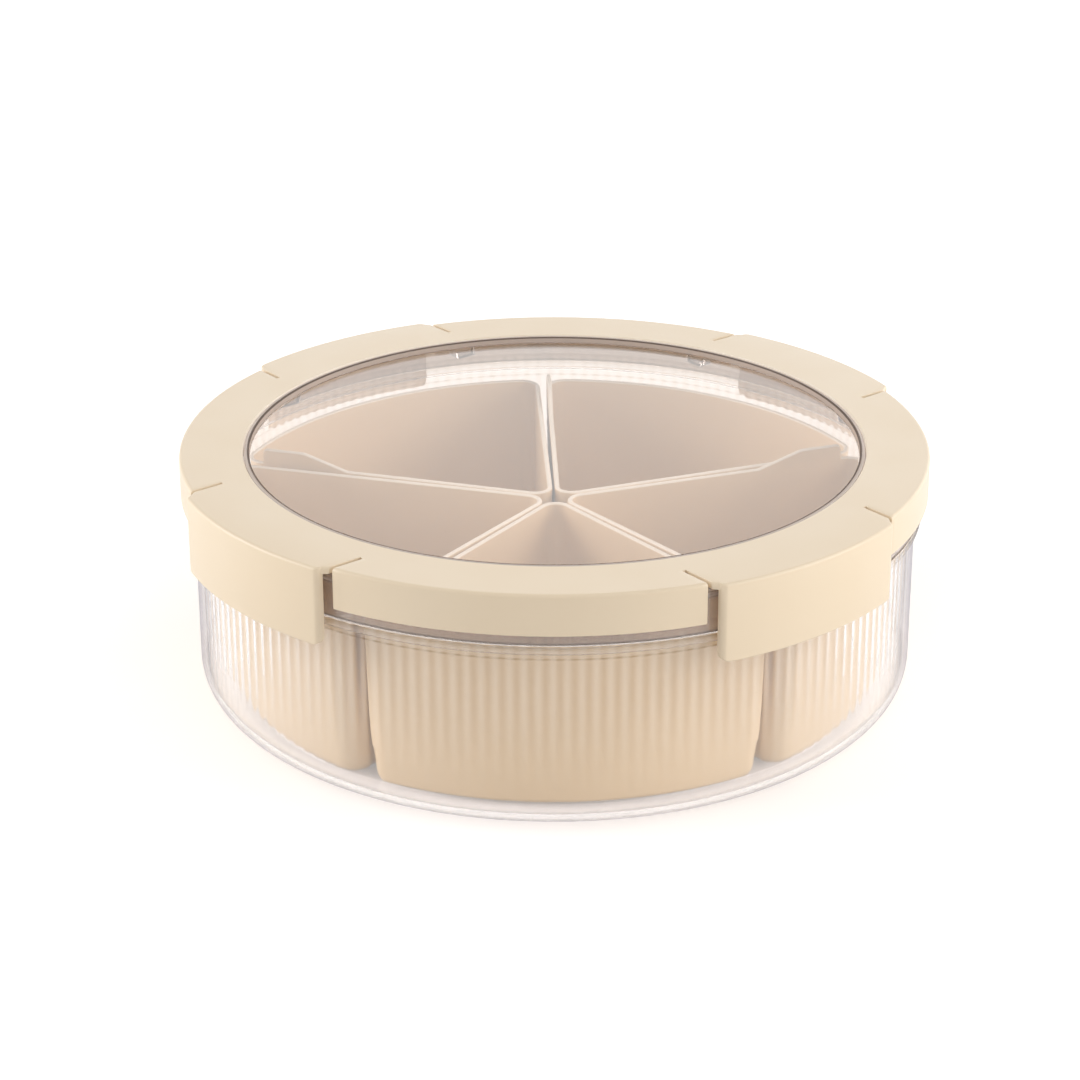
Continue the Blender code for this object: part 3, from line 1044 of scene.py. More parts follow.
@dataclass
class WedgeBox:
    """One loose wedge box: drafted walls, round foot, rolled rim and a finger tab on one side."""

    datum: Datum
    finishes: Finishes
    number: int
    azimuth: float
    height: float = 63.4 * MM
    rim_radius: float = 124.7 * MM
    half_sector: float = TURN / 10.0
    side_taper: float = math.radians(0.5)
    seam_half_gap: float = 0.3 * MM
    wall: float = 1.9 * MM
    floor: float = 1.9 * MM
    back_lean: float = 6.2 * MM
    side_draft: float = 0.8 * MM
    outer_corner: float = 8.0 * MM
    apex_corner: float = 6.5 * MM
    foot_fillet: float = 4.0 * MM
    inner_fillet: float = 3.0 * MM
    tab_gap: float = 0.6 * MM
    tab_level: float = 16.2 * MM
    tab_slope: float = 17.4 * MM
    tab_corner: float = 1.6 * MM
    tab_bend: float = 4.8 * MM
    tab_end_lean: float = 0.3 * MM
    flat_margin: float = 0.5 * MM
    wall_rows: tuple[float, ...] = (0.3, 0.6, 0.9)
    rim_margin: int = 2
    corner_steps: int = 12
    back_steps: int = 48
    round_steps: int = 6

    def tab_edge(self) -> list[Point]:
        """(depth in from the outer corner, lift) along the finger tab's upper edge.

        Returns:
            The points, from the outer corner inwards.
        """
        lift = self.datum.tab_top - self.datum.box_foot - self.height
        start = self.tab_gap
        top = start + self.tab_end_lean
        slope = top + self.tab_level
        end = slope + self.tab_slope
        edge = rounded(
            [
                (start, 0.0, 0.0),
                (top, lift, self.tab_corner),
                (slope, lift, self.tab_bend),
                (end, 0.0, self.tab_bend),
                (end + self.tab_slope, 0.0, 0.0),
            ],
            closed=False,
        )
        return edge[:-1]

    def outline(self, height_share: float, inset: float) -> list[Point]:
        """Rounded wedge outline in plan, on the box's own centre line along +X.

        Args:
            height_share: 0 at the foot and 1 at the rim.
            inset: How far the outline lies inside the outer surface.

        Returns:
            The outline's points, in the same order at every height.
        """
        half_angle = self.half_sector - self.side_taper
        back = self.rim_radius - self.back_lean * (1.0 - height_share)
        side = self.seam_half_gap + self.side_draft * (1.0 - height_share)
        reach = math.sqrt((back - self.outer_corner) ** 2 - (side + self.outer_corner) ** 2)
        along = Vector((math.cos(half_angle), math.sin(half_angle)))
        out = Vector((-math.sin(half_angle), math.cos(half_angle)))
        centre = along * reach - out * (side + self.outer_corner)
        swing = math.atan2(centre.y, centre.x)
        out_angle = half_angle + QUARTER
        upper = arc(centre, self.outer_corner - inset, swing, out_angle, self.corner_steps)
        back_arc = arc((0.0, 0.0), back - inset, -swing, swing, self.back_steps)
        apex_x = (side + self.apex_corner) / math.sin(half_angle)
        nose = arc(
            (apex_x, 0.0), self.apex_corner - inset, out_angle, TURN - out_angle, self.corner_steps
        )
        lower = [(x, -y) for x, y in reversed(upper)]
        tab = [along * (reach - depth) - out * (side + inset) for depth, _ in self.tab_edge()]
        tab = [tuple(point) for point in tab]
        tab_side = brace([tab[-1], nose[0]], closed=False)[1:-1]
        plain_side = brace([nose[-1], lower[0]], closed=False)[1:-1]
        return lower[:-1] + back_arc + upper[1:] + tab + tab_side + nose + plain_side

    def lifts(self) -> list[float]:
        """How far each point of an outline is raised at the rim.

        Returns:
            One lift for each point, in the outline's order.
        """
        before = [0.0] * (self.corner_steps + self.back_steps + 1 + self.corner_steps)
        tab = [lift for _, lift in self.tab_edge()]
        after = [0.0] * (len(self.outline(1.0, 0.0)) - len(before) - len(tab))
        return before + tab + after

    def ring(self, height: float, inset: float, raised: bool = False) -> list[tuple[float, float, float]]:
        """One outline of the box at a height above its foot.

        Args:
            height: The height above the foot.
            inset: How far the outline lies inside the outer surface.
            raised: Whether the finger tab stands up from it.

        Returns:
            The outline's points, in the same order at every height.
        """
        points = self.outline(min(height / self.height, 1.0), inset)
        lifts = self.lifts() if raised else [0.0] * len(points)
        return [(x, y, self.datum.box_foot + height + lift) for (x, y), lift in zip(points, lifts)]

    def rounded_levels(self, foot: float, radius: float) -> list[Point]:
        """(height, extra inset) from the flat of a rounded foot up to where its wall starts.

        Args:
            foot: Height of the flat.
            radius: Radius of the rounding.

        Returns:
            The levels, the lowest first.
        """
        angles = [QUARTER * i / self.round_steps for i in range(self.round_steps + 1)]
        levels = [(foot + radius * (1.0 - math.cos(a)), radius * (1.0 - math.sin(a))) for a in angles]
        return [*levels, (foot + radius + self.flat_margin, 0.0)]

    def build(self) -> bpy.types.Object:
        """Build the box, turn it to its azimuth and hang it on its body.

        Returns:
            The finished piece.
        """
        half_wall = 0.5 * self.wall
        outside = [self.ring(h, inset) for h, inset in self.rounded_levels(0.0, self.foot_fillet)]
        inside = [
            self.ring(h, self.wall + inset)
            for h, inset in self.rounded_levels(self.floor, self.inner_fillet)
        ]
        shoulder = self.height - half_wall
        walls = [self.ring(shoulder * share, 0.0) for share in self.wall_rows]
        inner_walls = [self.ring(shoulder * share, self.wall) for share in reversed(self.wall_rows)]
        rims = []
        for i in range(2 * self.round_steps + 1):
            angle = math.pi * (1.0 - i / (2 * self.round_steps))
            inset = half_wall * (1.0 + math.cos(angle))
            rims.append(self.ring(shoulder + half_wall * math.sin(angle), inset, raised=True))
        bm = skin(outside + walls + rims + inner_walls + inside[::-1], self.flat_margin)
        bm.verts.index_update()
        count = len(self.lifts())
        lowest = len(outside) + len(walls) + self.rim_margin
        highest = len(outside) + len(walls) + len(rims) - 1 - self.rim_margin
        # Painted highlight: the lighter tone along the middle rows of the rolled rim
        mark(bm, "lit", lambda vert: float(lowest <= vert.index // count <= highest))
        turn = Matrix.Rotation(self.azimuth - QUARTER, 4, "Z")
        bmesh.ops.transform(bm, matrix=turn, verts=bm.verts)
        piece = finish_piece(bm, f"snack_box_{self.number}", self.finishes.beige)
        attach(piece, f"box_{self.number}")
        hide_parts(f"box_{self.number}")
        return piece


@dataclass(frozen=True)
class LidSizes:
    """Sizes that the ring, its latches and the plate share."""

    ring_width: float = 23.0 * MM
    thickness: float = 2.4 * MM
    fillet: float = 1.2 * MM
    fillet_steps: int = 6
    hinge_inset: float = 4.4 * MM
    skin_half: float = 0.8 * MM
    slit_outer: float = 42.65 * MM
    slit_inner: float = 41.25 * MM
    latch_proud: float = 3.0 * MM

    def inner_radius(self, datum: Datum) -> float:
        """Radius of the ring's inner edge."""
        return datum.ring_radius - self.ring_width

    def hinge_reach(self, datum: Datum) -> float:
        """Distance from the centre line to each latch's hinge line."""
        return self.inner_radius(datum) + self.hinge_inset

    def hinge_point(self, datum: Datum, azimuth: float) -> Vector:
        """Middle of a latch's hinge line, on the ring's top."""
        return heading(azimuth) * self.hinge_reach(datum) + Vector((0.0, 0.0, datum.ring_top))

    def hinge_place(self, datum: Datum, azimuth: float) -> Matrix:
        """What moves a shape drawn at the origin, with +X outwards, to a latch's hinge."""
        move = Matrix.Translation(self.hinge_point(datum, azimuth))
        return move @ Matrix.Rotation(azimuth - QUARTER, 4, "Z")


@dataclass
class LidRing:
    """The ring's fixed stretches and the inner band that carries the latches."""

    datum: Datum
    finishes: Finishes
    sizes: LidSizes
    skirt_wall: float = 2.0 * MM
    edge: float = 0.35 * MM
    slit_edge: float = 0.22 * MM
    slit_segments: int = 2
    fixed_steps: int = 48
    notch_steps: int = 28

    def hinge_row_radius(self) -> float:
        """Radius at which the hinge line meets a slit."""
        chord = self.sizes.hinge_reach(self.datum) - self.sizes.skin_half
        return math.hypot(chord, self.sizes.slit_outer)

    def outline(self) -> list[Point]:
        """The ring's section as (radius, height) points, from the underside's inner edge round.

        Returns:
            The points, once round.
        """
        inner = self.sizes.inner_radius(self.datum)
        outer = self.datum.ring_radius
        top = self.datum.ring_top
        under = top - self.sizes.thickness
        bottom = self.datum.skirt_bottom
        hinge = self.hinge_row_radius()
        skirt = outer - self.skirt_wall
        corners = [
            (hinge, under, 0.0),
            (inner, under, self.edge),
            (inner, top, self.edge),
            (hinge, top, 0.0),
            (outer, top, self.sizes.fillet),
            (outer, bottom, self.edge),
            (skirt, bottom, self.edge),
            (skirt, under, 2.0 * self.edge),
        ]
        return brace(rounded(corners, closed=True), closed=True)

    def station(self, index: int, radius: float) -> tuple[float, float, bool]:
        """Where a station of the spin goes.

        Args:
            index: The station's number round the ring, from the first latch's slit.
            radius: The radius of the point on it.

        Returns:
            The azimuth, how far it lies off the latch's centre line, and whether it is in a notch.
        """
        per_latch = self.fixed_steps + self.notch_steps
        latch, step = divmod(index, per_latch)
        centre = TURN * (latch + 0.5) / len(Quadrant)
        corner = self.hinge_row_radius()
        swing = math.asin(self.sizes.slit_outer / max(radius, corner))
        if step <= self.notch_steps:
            offset = swing * (2.0 * step / self.notch_steps - 1.0)
            return centre + offset, offset, 0 < step < self.notch_steps
        share = (step - self.notch_steps) / self.fixed_steps
        gap = TURN / len(Quadrant) - 2.0 * swing
        return centre + swing + gap * share, 0.0, False

    def build(self) -> bpy.types.Object:
        """Build the ring with its four notches and hang it on the lid.

        Returns:
            The finished piece.
        """
        points = self.outline()
        steps = len(Quadrant) * (self.fixed_steps + self.notch_steps)
        bm = spin_outline(points, closed=True, steps=steps)
        row = bm.verts.layers.int["row"]
        hinge = self.hinge_row_radius()
        inner = self.sizes.inner_radius(self.datum)
        chord = self.sizes.hinge_reach(self.datum) - self.sizes.skin_half
        beyond = {i for i, (radius, _) in enumerate(points) if radius > hinge + MERGE_DISTANCE}
        notched = set()
        for vert in bm.verts:
            radius = off_axis(vert)
            index = round(math.atan2(vert.co.y, vert.co.x) / TURN * steps) % steps
            azimuth, offset, in_notch = self.station(index, radius)
            if in_notch and vert[row] in beyond:
                notched.add(vert)
            elif in_notch:
                reach = (chord / math.cos(offset) - inner) / (hinge - inner)
                radius = inner + (radius - inner) * reach
            place = heading(azimuth) * radius
            vert.co.x, vert.co.y = place.x, place.y
        self.open_notches(bm, notched)
        bmesh.ops.recalc_face_normals(bm, faces=bm.faces)
        # Painted light inside the skirt and on the ring's inner edge
        mark(bm, "lit", self.painted_light_share)
        piece = finish_piece(bm, "cream_ring", self.finishes.cream)
        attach(piece, "lid")
        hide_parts("lid_ring")
        return piece

    def painted_light_share(self, vert: bmesh.types.BMVert) -> float:
        """1 inside the skirt and on the ring's inner edge, else 0; painted light there stands in for light
        that comes through the plastic.

        Args:
            vert: The vertex.

        Returns:
            Its share of the painted light tone.
        """
        radius = off_axis(vert)
        under = self.datum.ring_top - self.sizes.thickness + MERGE_DISTANCE
        inside = vert.co.z < under and radius < self.datum.ring_radius - 0.5 * self.skirt_wall
        inner_edge = radius < self.sizes.inner_radius(self.datum) + 0.5 * self.edge
        return 1.0 if inside or inner_edge else 0.0

    def open_notches(self, bm: bmesh.types.BMesh, notched: set[bmesh.types.BMVert]) -> None:
        """Take the notches out of the spun ring, and close the cut faces.

        Args:
            bm: The spun ring.
            notched: The vertices inside the notches.
        """
        bmesh.ops.delete(bm, geom=list(notched), context="VERTS")
        under = self.datum.ring_top - self.sizes.thickness
        near = MERGE_DISTANCE
        for quadrant in Quadrant:
            out = heading(quadrant.value)
            side = heading(quadrant.value + QUARTER)
            rim = [e for e in bm.edges if e.is_boundary and self.middle(e).dot(out) > 0.0]
            half = self.sizes.slit_outer
            chains = []
            for height in (under, self.datum.ring_top):
                chains += [
                    e
                    for e in rim
                    if abs(self.middle(e).dot(side)) < half - near
                    and all(abs(v.co.z - height) < near for v in e.verts)
                ]
            bmesh.ops.bridge_loops(bm, edges=chains)
            for sign in (-1.0, 1.0):
                ends = [
                    e
                    for e in bm.edges
                    if e.is_boundary
                    and all(abs(v.co.dot(side) - sign * half) < near for v in e.verts)
                    and self.middle(e).dot(out) > 0.0
                ]
                made = bmesh.ops.edgeloop_fill(bm, edges=ends)["faces"]
                self.soften(bm, [e for face in made for e in face.edges], out)

    def soften(self, bm: bmesh.types.BMesh, edges: list[bmesh.types.BMEdge], out: Vector) -> None:
        """Bevel a slit's edges, apart from those at the hinge line.

        Args:
            bm: The ring's bmesh.
            edges: The slit's edges.
            out: The latch's direction, out from the axis.
        """
        chord = self.sizes.hinge_reach(self.datum) - self.sizes.skin_half
        free = [e for e in edges if any(v.co.dot(out) > chord + MERGE_DISTANCE for v in e.verts)]
        bevel(bm, free, self.slit_edge, self.slit_segments)

    @staticmethod
    def middle(edge: bmesh.types.BMEdge) -> Vector:
        """The middle of an edge."""
        return 0.5 * (edge.verts[0].co + edge.verts[1].co)


@dataclass
class Latch:
    """One hinged flap of the lid, with its deep skirt and snap bead."""

    datum: Datum
    finishes: Finishes
    sizes: LidSizes
    quadrant: Quadrant
    wall: float = 2.4 * MM
    end_setback: float = 1.7 * MM
    end_step: float = 0.02 * MM
    plan_corner: float = 1.6 * MM
    lower_corner: float = 3.0 * MM
    lower_edge: float = 0.5 * MM
    edge_limit: float = 0.4
    root_fillet: float = 0.8 * MM
    side_edge: float = 0.22 * MM
    bead_height: float = 2.3 * MM
    bead_tip_height: float = 1.1 * MM
    bead_tip_edge: float = 0.3 * MM
    bead_sink: float = 0.3 * MM
    bead_rise: float = 0.1 * MM
    bead_end_taper: float = 3.0 * MM
    bead_gap: float = 0.3 * MM
    stations: int = 22
    flap_steps: int = 4
    round_steps: int = 8

    @property
    def hinge_reach(self) -> float:
        """Distance from the centre line to this latch's hinge line."""
        return self.sizes.hinge_reach(self.datum)

    @property
    def skirt_end(self) -> float:
        """Distance from the latch's centre line to its skirt's end face."""
        return self.sizes.slit_inner - self.end_setback

    def reach(self, radius: float, side: float) -> float:
        """How far a circle round the tray lies from the hinge, beside the latch's centre line."""
        return math.sqrt(radius**2 - side**2) - self.hinge_reach

    def places(self) -> list[float]:
        """Distances from the centre line at which the latch's section is drawn.

        Returns:
            The distances, from one end to the other.
        """
        straight = self.skirt_end - self.lower_corner
        half = [straight * i / self.stations for i in range(self.stations + 1)]
        angles = [QUARTER * i / self.round_steps for i in range(1, self.round_steps + 1)]
        half += [straight + self.lower_corner * math.sin(a) for a in angles]
        corner = self.skirt_end - self.plan_corner
        half += [corner + self.plan_corner * math.sin(a) for a in angles[:-1]]
        flap = self.sizes.slit_inner - self.side_edge
        begin = self.skirt_end + self.end_step
        half += [begin + (flap - begin) * i / self.flap_steps for i in range(self.flap_steps + 1)]
        half += [flap + self.side_edge * math.sin(a) for a in angles[1::2]]
        half = sorted(half)
        return [-place for place in reversed(half[1:])] + half

    def section(self, place: float) -> list[Point]:
        """The latch's section beside its centre line, as (reach, height) points from its hinge.

        Args:
            place: Distance from the centre line, with its sign.

        Returns:
            The same number of points at every place; past the skirt's end they lie on the flap.
        """
        side = abs(place)
        flap_only = side > self.skirt_end + 0.5 * self.end_step
        radius = self.datum.ring_radius + self.sizes.latch_proud
        at = min(side, self.skirt_end)
        into = side - (self.skirt_end - self.plan_corner)
        set_back = quarter_round(self.plan_corner, into) + max(0.0, into - self.plan_corner)
        end_setback = quarter_round(self.plan_corner, at - (self.skirt_end - self.plan_corner))
        outer = self.reach(radius, side) - set_back
        breadth = self.reach(radius, at) - end_setback - self.reach(radius - self.wall, at)
        inner = outer - breadth
        depth = self.datum.ring_top - self.datum.latch_bottom
        bottom = quarter_round(self.lower_corner, side - (self.skirt_end - self.lower_corner)) - depth
        drop = quarter_round(self.side_edge, side - (self.sizes.slit_inner - self.side_edge))
        near = self.sizes.skin_half
        under = drop - self.sizes.thickness
        round_edge = min(self.lower_edge, self.edge_limit * breadth)
        fillet = self.sizes.fillet
        top = arc((outer - fillet, -fillet - drop), fillet, QUARTER, 0.0, self.sizes.fillet_steps)
        steps = self.round_steps // 2
        skirt = arc((outer - round_edge, bottom + round_edge), round_edge, 0.0, -QUARTER, steps)
        skirt += arc((inner + round_edge, bottom + round_edge), round_edge, -QUARTER, -math.pi, steps)
        root = self.root_fillet
        skirt += arc((inner - root, under - root), root, 0.0, QUARTER, steps)
        if flap_only:
            skirt = [(x, under) for x, _ in skirt]
        return [(near, -drop), *top, *skirt, (near, under)]

    def bead(self) -> bmesh.types.BMesh:
        """The bead inside the skirt, tapered at both ends.

        Returns:
            The bead as a closed bmesh.
        """
        half = self.skirt_end - self.lower_corner
        count = 2 * self.stations
        high = self.datum.ledge_bottom - self.bead_gap - self.datum.ring_top
        low = high - self.bead_height
        margin = 0.5 * (self.bead_height - self.bead_tip_height)
        rings = []
        for i in range(count + 1):
            place = half * (2.0 * i / count - 1.0)
            fade = ease((half - abs(place)) / self.bead_end_taper)
            root = self.reach(self.datum.ring_radius + self.sizes.latch_proud - self.wall, place)
            tip = self.reach(self.datum.ledge_radius + self.bead_gap, place)
            tip = root - (root - tip) * fade - self.bead_rise
            inside = root + self.bead_sink
            outline = rounded(
                [
                    (inside, low, 0.0),
                    (tip, low + margin, self.bead_tip_edge),
                    (tip, high - margin, self.bead_tip_edge),
                    (inside, high, 0.0),
                ],
                closed=True,
            )
            rings.append([(x, place, z) for x, z in outline])
        return skin(rings)

    def painted_light_share(self, vert: bmesh.types.BMVert) -> float:
        """1 on the skirt's inner face, away from its ends, else 0; painted light there stands in for light
        that comes through the plastic.

        Args:
            vert: The vertex.

        Returns:
            Its share of the painted light tone.
        """
        radius = math.hypot(vert.co.x + self.hinge_reach, vert.co.y)
        behind = radius < self.datum.ring_radius + self.sizes.latch_proud - 0.5 * self.wall
        middle = abs(vert.co.y) < self.skirt_end - self.lower_corner
        return 1.0 if behind and middle and vert.co.z < -self.sizes.thickness else 0.0

    def build(self) -> bpy.types.Object:
        """Build the latch at its quadrant and hang it on its body.

        Returns:
            The finished piece.
        """
        rings = [[(x, place, z) for x, z in self.section(place)] for place in self.places()]
        bm = skin(rings)
        # Painted light on the skirt's inner face
        mark(bm, "lit", self.painted_light_share)
        bead_mesh = bpy.data.meshes.new("bead")
        bead = self.bead()
        bead.to_mesh(bead_mesh)
        bead.free()
        bm.from_mesh(bead_mesh)
        bpy.data.meshes.remove(bead_mesh)
        place = self.sizes.hinge_place(self.datum, self.quadrant.value)
        bmesh.ops.transform(bm, matrix=place, verts=bm.verts)
        label = self.quadrant.label
        piece = finish_piece(bm, f"flap_{label}", self.finishes.cream)
        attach(piece, f"latch_{label}")
        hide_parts(f"latch_{label}")
        return piece


@dataclass
class HingeSkin:
    """The thinned strip of the moulding that bends between the ring and one latch."""

    datum: Datum
    finishes: Finishes
    sizes: LidSizes
    quadrant: Quadrant
    web: float = 0.7 * MM
    groove_power: int = 4
    across: int = 12
    along: int = 24

    def section(self) -> list[Point]:
        """The strip's section: flat on top, with a rounded groove underneath.

        Returns:
            (distance from the hinge line, height) of each point.
        """
        half = self.sizes.skin_half
        steps = [2.0 * i / self.across - 1.0 for i in range(self.across + 1)]
        top = [(half * step, 0.0) for step in steps]
        depth = self.sizes.thickness - self.web
        under = [(half * step, -self.web - depth * step**self.groove_power) for step in reversed(steps)]
        return top + under

    def build(self) -> bpy.types.Object:
        """Build the strip and let it bend between the lid and its latch.

        Returns:
            The finished piece.
        """
        half = self.sizes.slit_inner
        rings = []
        for i in range(self.along + 1):
            place = half * (2.0 * i / self.along - 1.0)
            rings.append([(x, place, z) for x, z in self.section()])
        bm = skin(rings)
        azimuth = self.quadrant.value
        hinge = self.sizes.hinge_point(self.datum, azimuth)
        bmesh.ops.transform(bm, matrix=self.sizes.hinge_place(self.datum, azimuth), verts=bm.verts)
        label = self.quadrant.label
        piece = finish_piece(bm, f"hinge_skin_{label}", self.finishes.cream)
        reach = heading(azimuth) * self.sizes.skin_half
        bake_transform(piece, "lid", f"latch_{label}", start=hinge - reach, end=hinge + reach)
        return piece


@dataclass
class LidPlate:
    """Clear plate of the lid: window, raised lip, seal rib, flange and eight clips."""

    datum: Datum
    finishes: Finishes
    sizes: LidSizes
    thickness: float = 2.4 * MM
    top_gap: float = 0.3 * MM
    lip_gap: float = 0.3 * MM
    lip_width: float = 2.0 * MM
    lip_edge: float = 0.5 * MM
    lip_line: float = 0.7 * MM
    lip_line_depth: float = 0.35 * MM
    flange_wall: float = 1.7 * MM
    flange_foot: float = 0.45 * MM
    rib_wall: float = 1.4 * MM
    rib_depth: float = 3.0 * MM
    rib_setback: float = 5.3 * MM
    edge: float = 0.3 * MM
    steps: int = 360
    clip_width: float = 11.0 * MM
    clip_length: float = 6.0 * MM
    clip_depth: float = 5.2 * MM
    clip_sink: float = 1.0 * MM
    clip_inset: float = 7.4 * MM
    clip_place: float = 42.0 * MM
    clip_slope: float = 2.6 * MM
    clip_edge: float = 0.5 * MM
    clip_segments: int = 3
    pin_radius: float = 1.2 * MM
    pin_taper: float = 0.8
    pin_sides: int = 16
    pin_depth: float = 2.2 * MM
    pin_place: float = 30.5 * MM
    # Below: shares of painted shade on the lip, the flange, the clips and the top face that shows in the
    # slits, and of painted light, a lit milky share, on the flange and the clips
    lip_share: float = 0.05
    flange_share: float = 0.2
    clip_share: float = 0.65
    covered_share: float = 0.75
    flange_painted_light: float = 0.45
    clip_painted_light: float = 0.3

    @property
    def top(self) -> float:
        """Height of the window's top face."""
        return self.datum.ring_top - self.sizes.thickness - self.top_gap

    def outline(self) -> list[Point]:
        """The plate's section, from the axis under the window round to the axis over it.

        Returns:
            (radius, height) of each point.
        """
        under = self.top - self.thickness
        flange_outer = self.datum.flange_radius
        flange_inner = flange_outer - self.flange_wall
        rib_inner = self.rib_inner
        rib_outer = rib_inner + self.rib_wall
        lip_inner = self.lip_inner
        lip_outer = lip_inner + self.lip_width
        corners = [
            (0.0, under, 0.0),
            (rib_inner, under, self.edge),
            (rib_inner, under - self.rib_depth, self.edge),
            (rib_outer, under - self.rib_depth, self.edge),
            (rib_outer, under, self.edge),
            (flange_inner, under, self.edge),
            (flange_inner, self.datum.flange_bottom, self.edge),
            (flange_outer, self.datum.flange_bottom, self.edge),
            (flange_outer, self.top, 2.0 * self.edge),
            (lip_outer, self.top, self.edge),
            (lip_outer, self.datum.lip_top, self.lip_edge),
            (lip_inner + self.lip_line + self.edge, self.datum.lip_top, 0.0),
            (lip_inner + self.lip_line, self.datum.lip_top, 0.0),
            (lip_inner, self.datum.lip_top, self.lip_edge),
            (lip_inner, self.top, self.edge),
            (0.0, self.top, 0.0),
        ]
        return brace(rounded(corners, closed=False), closed=False)

    def edge_share(self, vert: bmesh.types.BMVert) -> float:
        """How much painted shade a vertex takes: the lip's inner edge and the flange's foot most.

        Args:
            vert: The vertex.

        Returns:
            The share, 0 to 1.
        """
        if self.on_lip(vert):
            line = self.lip_inner + self.lip_line + MERGE_DISTANCE
            near = off_axis(vert) < line and vert.co.z > self.datum.lip_top - self.lip_line_depth
            return 1.0 if near else self.lip_share
        if vert.co.z < self.datum.flange_bottom + self.flange_foot:
            return 1.0
        if self.is_covered(vert):
            return self.covered_share
        if self.on_clip(vert):
            return self.clip_share
        return self.flange_share if self.on_flange(vert) else 0.0

    def painted_light_milk_share(self, vert: bmesh.types.BMVert) -> float:
        """How much painted light, a lit milky share, a vertex takes: the lip fully, as its painted
        reflection, the flange and the clips in part.

        Args:
            vert: The vertex.

        Returns:
            The share, 0 to 1.
        """
        if self.on_lip(vert):
            return 1.0
        if self.on_clip(vert):
            return self.clip_painted_light
        return self.flange_painted_light if self.on_flange(vert) else 0.0

    @property
    def lip_inner(self) -> float:
        """Radius of the lip's inner face."""
        return self.sizes.inner_radius(self.datum) - self.lip_gap - self.lip_width

    @property
    def rib_inner(self) -> float:
        """Radius of the seal rib's inner face."""
        return self.datum.flange_radius - self.flange_wall - self.rib_setback - self.rib_wall

    def on_lip(self, vert: bmesh.types.BMVert) -> bool:
        """Whether a vertex lies on the raised lip."""
        return vert.co.z > self.top + 0.5 * self.edge

    def is_covered(self, vert: bmesh.types.BMVert) -> bool:
        """Whether a vertex lies on the top face outside the lip, which shows in the slits alone."""
        outside = off_axis(vert) > self.lip_inner + self.lip_width - MERGE_DISTANCE
        return outside and vert.co.z > self.top - 2.0 * self.edge - MERGE_DISTANCE

    def on_clip(self, vert: bmesh.types.BMVert) -> bool:
        """Whether a vertex lies on a clip or pin, below the window."""
        inside = off_axis(vert) < self.rib_inner - self.edge
        return inside and vert.co.z < self.top - self.thickness - MERGE_DISTANCE

    def on_flange(self, vert: bmesh.types.BMVert) -> bool:
        """Whether a vertex lies on the flange's walls."""
        wall = off_axis(vert) > self.datum.flange_radius - self.flange_wall - MERGE_DISTANCE
        return wall and vert.co.z < self.top - 2.0 * self.edge

    def clip(self, bm: bmesh.types.BMesh, azimuth: float, side: float) -> None:
        """Add one clip, sloped towards its latch's centre line, and the pin beside it.

        Args:
            bm: The bmesh that takes the clip.
            azimuth: The latch's azimuth.
            side: -1 or 1, the side of the latch's centre line.
        """
        under = self.top - self.thickness
        reach = self.sizes.hinge_reach(self.datum) - self.clip_inset
        turn = Matrix.Rotation(azimuth - QUARTER, 4, "Z")
        depth = self.clip_depth + self.clip_sink
        middle = Vector((reach, side * self.clip_place, under + self.clip_sink - 0.5 * depth))
        size = Matrix.Diagonal((self.clip_length, self.clip_width, depth, 1.0))
        made = bmesh.ops.create_cube(bm, size=1.0, matrix=Matrix.Translation(middle) @ size)
        low_edge = [
            v for v in made["verts"] if v.co.z < middle.z and (v.co.y - middle.y) * side < 0.0
        ]
        for vert in low_edge:
            vert.co.y += side * self.clip_slope
        edges = list({e for v in made["verts"] for e in v.link_edges})
        rim = [e for e in edges if min(v.co.z for v in e.verts) < middle.z]
        bevelled = bevel(bm, rim, self.clip_edge, self.clip_segments)
        faces = {f for v in bevelled["verts"] for f in v.link_faces}
        verts = list({v for f in faces for v in f.verts} | {v for v in made["verts"] if v.is_valid})
        pin_middle = Vector((reach, side * self.pin_place, under + self.clip_sink - 0.5 * self.pin_depth))
        pin = bmesh.ops.create_cone(
            bm,
            cap_ends=True,
            segments=self.pin_sides,
            radius1=self.pin_taper * self.pin_radius,
            radius2=self.pin_radius,
            depth=self.pin_depth,
            matrix=Matrix.Translation(pin_middle),
        )
        bmesh.ops.transform(bm, matrix=turn, verts=verts + pin["verts"])

    def build(self) -> bpy.types.Object:
        """Build the plate, join its clips to it and hang it on the lid.

        Returns:
            The finished piece.
        """
        bm = spin_outline(self.outline(), closed=False, steps=self.steps)
        plate = finish_piece(bm, "window_plate", self.finishes.window)
        under_ring = bmesh.new()
        for quadrant in Quadrant:
            for side in (-1.0, 1.0):
                self.clip(under_ring, quadrant.value, side)
        bmesh.ops.recalc_face_normals(under_ring, faces=under_ring.faces)
        guide = finish_piece(under_ring, "clip_guide", self.finishes.window)
        merge_into(plate, guide)
        joined = bmesh.new()
        joined.from_mesh(plate.data)
        # Painted shade and painted light, which the window's material reads
        mark(joined, "groove", self.edge_share)
        mark(joined, "milky", self.painted_light_milk_share)
        joined.to_mesh(plate.data)
        joined.free()
        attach(plate, "lid")
        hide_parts("lid_plate")
        return plate


